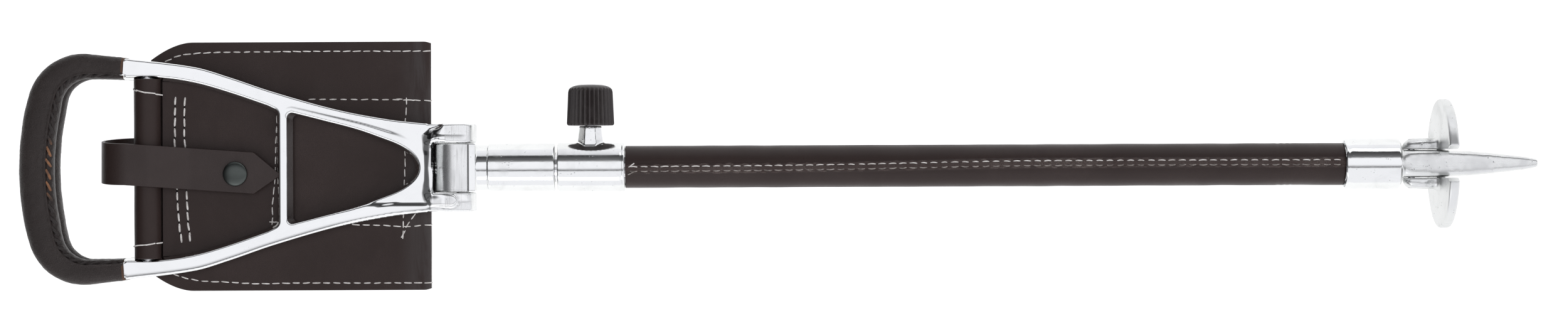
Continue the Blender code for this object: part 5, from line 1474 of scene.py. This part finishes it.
def between(line, pitch):
    """The part of a row from the middle of its first gap to the middle of its last."""
    lengths = running_length(line)
    half = lengths[-1] / max(round(lengths[-1] / pitch), 1) / 2
    return sampled(line, lengths, np.linspace(half, lengths[-1] - half, len(line) * 3))


def photo_row(pixels, height, side=1):
    """A sewn row through photographed pixels, at a height over the stick's axis."""
    return np.array([(*photo_spot(px, py, height), side * height) for px, py in pixels]), (0, 0, side)


EDGE_ROWS = (
    ((269, 95.2), (274, 92.2), (280, 89.8), (293, 86.5), (310, 84.3), (332, 83.3), (347, 82.6), (375, 82.2),
     (505, 80.8), (600, 80.6), (681, 80.4)),
    ((278.7, 436.6), (290.6, 441), (303.6, 444), (318.8, 446.4), (331.8, 447.7), (357.9, 448.3), (388.2, 450.1),
     (401.3, 451.2), (429.5, 450.9), (472.8, 449.9), (600, 450.0), (682, 449.6)),
    ((498, 157.4), (560, 157.6), (640, 158.0), (682, 159.4)),
    ((567, 357.0), (620, 358.5), (642, 360.4), (682, 357.6)),
    ((648.5, 160), (648, 175), (646, 195), (645.5, 230), (646, 262), (644.5, 290), (643.6, 320), (643, 345),
     (642, 373)),
    ((642.5, 372), (650, 356), (659, 343.5)),
    ((637, 157.0), (646, 159.5), (656, 158.5)),
)
PATCH_ROWS = (
    ((442, 173.3), (441.8, 192.8), (440.3, 218.8), (439.7, 240.5), (439.2, 264.4), (438.1, 288.2), (436, 305.6),
     (434.2, 325.6), (433.8, 351.6)),
    ((434.5, 353.0), (443, 353.3)),
)
HEAVY_ROWS = (
    ((279.8, 160), (279.3, 177.6), (279.1, 197), (279.1, 214.5), (278.3, 232), (280, 270), (282, 303.9), (283, 327.7),
     (284.1, 338.6), (285.2, 355.9), (286.7, 371), (288.5, 378.7)),
    ((295, 161.3), (294.3, 177.6), (294.3, 197), (293.9, 212.3), (295, 229.7), (296, 270), (297.1, 303.9),
     (298.2, 323.4), (298.7, 338.6), (299.3, 353.8), (300.8, 366.8), (302.1, 376.5)),
)
# The back stitch where the shaft's seam starts, above and below it
BACK_STITCHES = {1: ((1006.0, 263.0), (1006.8, 262.4)), -1: ((1006.5, 274.7), (1007.2, 274.3))}


def roll_row(y_left, y_right, side):
    """A thread over the roll, round its rod."""
    angles = np.radians(np.linspace(190, 28, 24))
    radius = ROLL_RADIUS + 0.0001
    line = [(-ROD_REACH + radius * math.cos(a), y_left + (y_right - y_left) * k / 23,
             side * (PIN_HEIGHT + radius * math.sin(a))) for k, a in enumerate(angles)]
    out = [(math.cos(a), 0, side * math.sin(a)) for a in angles]
    return np.array(line), np.array(out)


def make_stitches():
    """All the sewing on the seat and the shaft."""
    sheet_top = SHEET_GAP + SHEET_THICKNESS
    patch_top = PATCH_LOW + PATCH_THICKNESS
    for side, body, prefix in both_sides("sling"):
        rows = [photo_row(row, sheet_top, side) for row in EDGE_ROWS]
        rows += [photo_row(row, patch_top, side) for row in PATCH_ROWS]
        sew(f"{prefix}_seat_stitches", body, "seat_leather", rows)
        rows = [photo_row(row, patch_top, side) for row in HEAVY_ROWS]
        sew(f"{prefix}_heavy_stitches", body, "seat_leather", rows, pitch=HEAVY_PITCH, stitch_length=0.0046,
            thread_radius=0.00058, crown=0.0005)
        # Dark dashes between the heavy stitches are painted shade inside the needle holes.
        holes = [(between(line, HEAVY_PITCH) - (0, 0, 0.0001 * side), out) for line, out in rows]
        sew(f"{prefix}_stitch_hole_shades", body, "seat_leather", holes, "needle_hole", pitch=HEAVY_PITCH,
            stitch_length=0.0016, thread_radius=0.0006, crown=0.00002)
        rows = [roll_row(0.0454, 0.0420, side), roll_row(-0.0439, -0.0418, side)]
        sew(f"{prefix}_roll_stitches", body, "seat_leather", rows, pitch=0.0052, stitch_length=0.0056,
            crown=0.00035)
    radius, lean = SHAFT_RADIUS + 0.0002, math.radians(38)
    part = np.linspace(0.012, 0.988, 120)
    for hand, name, finish in ((1, "shaft_upper_stitches", "thread"), (-1, "shaft_lower_stitches", "soiled_thread")):
        angle = seam_angle(part) - hand * SEAM_HALF / SHAFT_RADIUS
        line = np.stack([LEATHER_START + (LEATHER_END - LEATHER_START) * part, radius * np.cos(angle),
                         radius * np.sin(angle)], axis=1)
        turn = angle - hand * lean
        out = np.stack([0 * turn, np.cos(turn), np.sin(turn)], axis=1)
        sew(name, "shaft", "seat_leather", [(line, out), photo_row(BACK_STITCHES[hand], 0.01205)], finish,
            pitch=SHAFT_PITCH, stitch_length=0.0042, thread_radius=0.00036)


# Add-on

class StickSizes(bpy.types.PropertyGroup):
    """Sizes and colours that a user would change."""
    seat_colour: bpy.props.FloatVectorProperty(name="Seat colour", description="Colour of the seat's leather",
                                               subtype="COLOR", default=(0.033, 0.0205, 0.0180), min=0, max=1)
    grip_colour: bpy.props.FloatVectorProperty(name="Grip colour", description="Colour of the grips' leather",
                                               subtype="COLOR", default=(0.030, 0.0225, 0.0205), min=0, max=1)
    light_strength: bpy.props.FloatProperty(name="Light", description="Strength of the soft lights, 1 as photographed",
                                            subtype="FACTOR", default=1.0, min=0, max=4)
    floor_glow: bpy.props.FloatProperty(name="Floor glow", description="How far the studio paper is lit from below",
                                        subtype="FACTOR", default=0.89, min=0, max=2)


class MakeFinishes(bpy.types.Operator):
    """Make every finish of the stick"""
    bl_idname = "seat_stick.finishes"
    bl_label = "Make finishes"

    def execute(self, context):
        FINISH.update(make_finishes(context.scene.seat_stick), sewing=stitch_tree())
        return {"FINISHED"}


class MakeStage(bpy.types.Operator):
    """Set the camera, the floor and the light"""
    bl_idname = "seat_stick.stage"
    bl_label = "Set the stage"

    def execute(self, context):
        settings = context.scene.seat_stick
        context.scene.world = make_sky()
        make_lights(settings.light_strength)
        make_camera()
        make_floor(settings.floor_glow)
        context.scene.view_settings.view_transform = "Standard"
        return {"FINISHED"}


class PieceStep:
    """Runs its makers in order"""
    makers = ()

    def execute(self, context):
        for make in self.makers:
            make()
        return {"FINISHED"}


class MakeFrames(PieceStep, bpy.types.Operator):
    """Cast both handle frames"""
    bl_idname = "seat_stick.frames"
    bl_label = "Handle frames"
    makers = (make_frames,)


class MakeGrips(PieceStep, bpy.types.Operator):
    """Sew leather round both D bars"""
    bl_idname = "seat_stick.grips"
    bl_label = "Grips"
    makers = (make_grips,)


class MakeSeat(PieceStep, bpy.types.Operator):
    """Hang the seat's sheet, its patches and the closing strap"""
    bl_idname = "seat_stick.seat"
    bl_label = "Seat and strap"
    makers = (make_sheets, make_patches, make_strap)


class MakeCastings(PieceStep, bpy.types.Operator):
    """Cast the head, the collar and the ground plate"""
    bl_idname = "seat_stick.castings"
    bl_label = "Head, collar and ground plate"
    makers = (make_castings,)


class MakeShaft(PieceStep, bpy.types.Operator):
    """Make the shaft's leather, the ferrule, the spike and the knob"""
    bl_idname = "seat_stick.shaft"
    bl_label = "Shaft, spike and knob"
    makers = (make_shaft_leather, make_ferrule, make_spike, make_knob, dress_kept_nodes)


class MakeStitches(PieceStep, bpy.types.Operator):
    """Sew the seat and the shaft"""
    bl_idname = "seat_stick.stitches"
    bl_label = "Stitches"
    makers = (make_stitches,)


STEPS = (MakeFinishes, MakeStage, MakeFrames, MakeGrips, MakeSeat, MakeCastings, MakeShaft, MakeStitches)


class StickPanel(bpy.types.Panel):
    """The stick's sizes and its steps in the sidebar"""
    bl_idname = "VIEW3D_PT_seat_stick"
    bl_label = "Seat Stick"
    bl_space_type = "VIEW_3D"
    bl_region_type = "UI"
    bl_category = "Seat Stick"

    def draw(self, context):
        settings = context.scene.seat_stick
        for name in ("seat_colour", "grip_colour", "light_strength", "floor_glow"):
            self.layout.prop(settings, name)
        for step in STEPS:
            self.layout.operator(step.bl_idname)


def register():
    """Register the add-on's classes."""
    for item in (StickSizes, *STEPS, StickPanel):
        bpy.utils.register_class(item)
    bpy.types.Scene.seat_stick = bpy.props.PointerProperty(type=StickSizes)


def unregister():
    """Remove the add-on's classes."""
    del bpy.types.Scene.seat_stick
    for item in reversed((StickSizes, *STEPS, StickPanel)):
        bpy.utils.unregister_class(item)


def main():
    """Make the whole stick."""
    register()
    for step in STEPS:
        family, name = step.bl_idname.split(".")
        getattr(getattr(bpy.ops, family), name)()


if __name__ == "__main__":
    main()
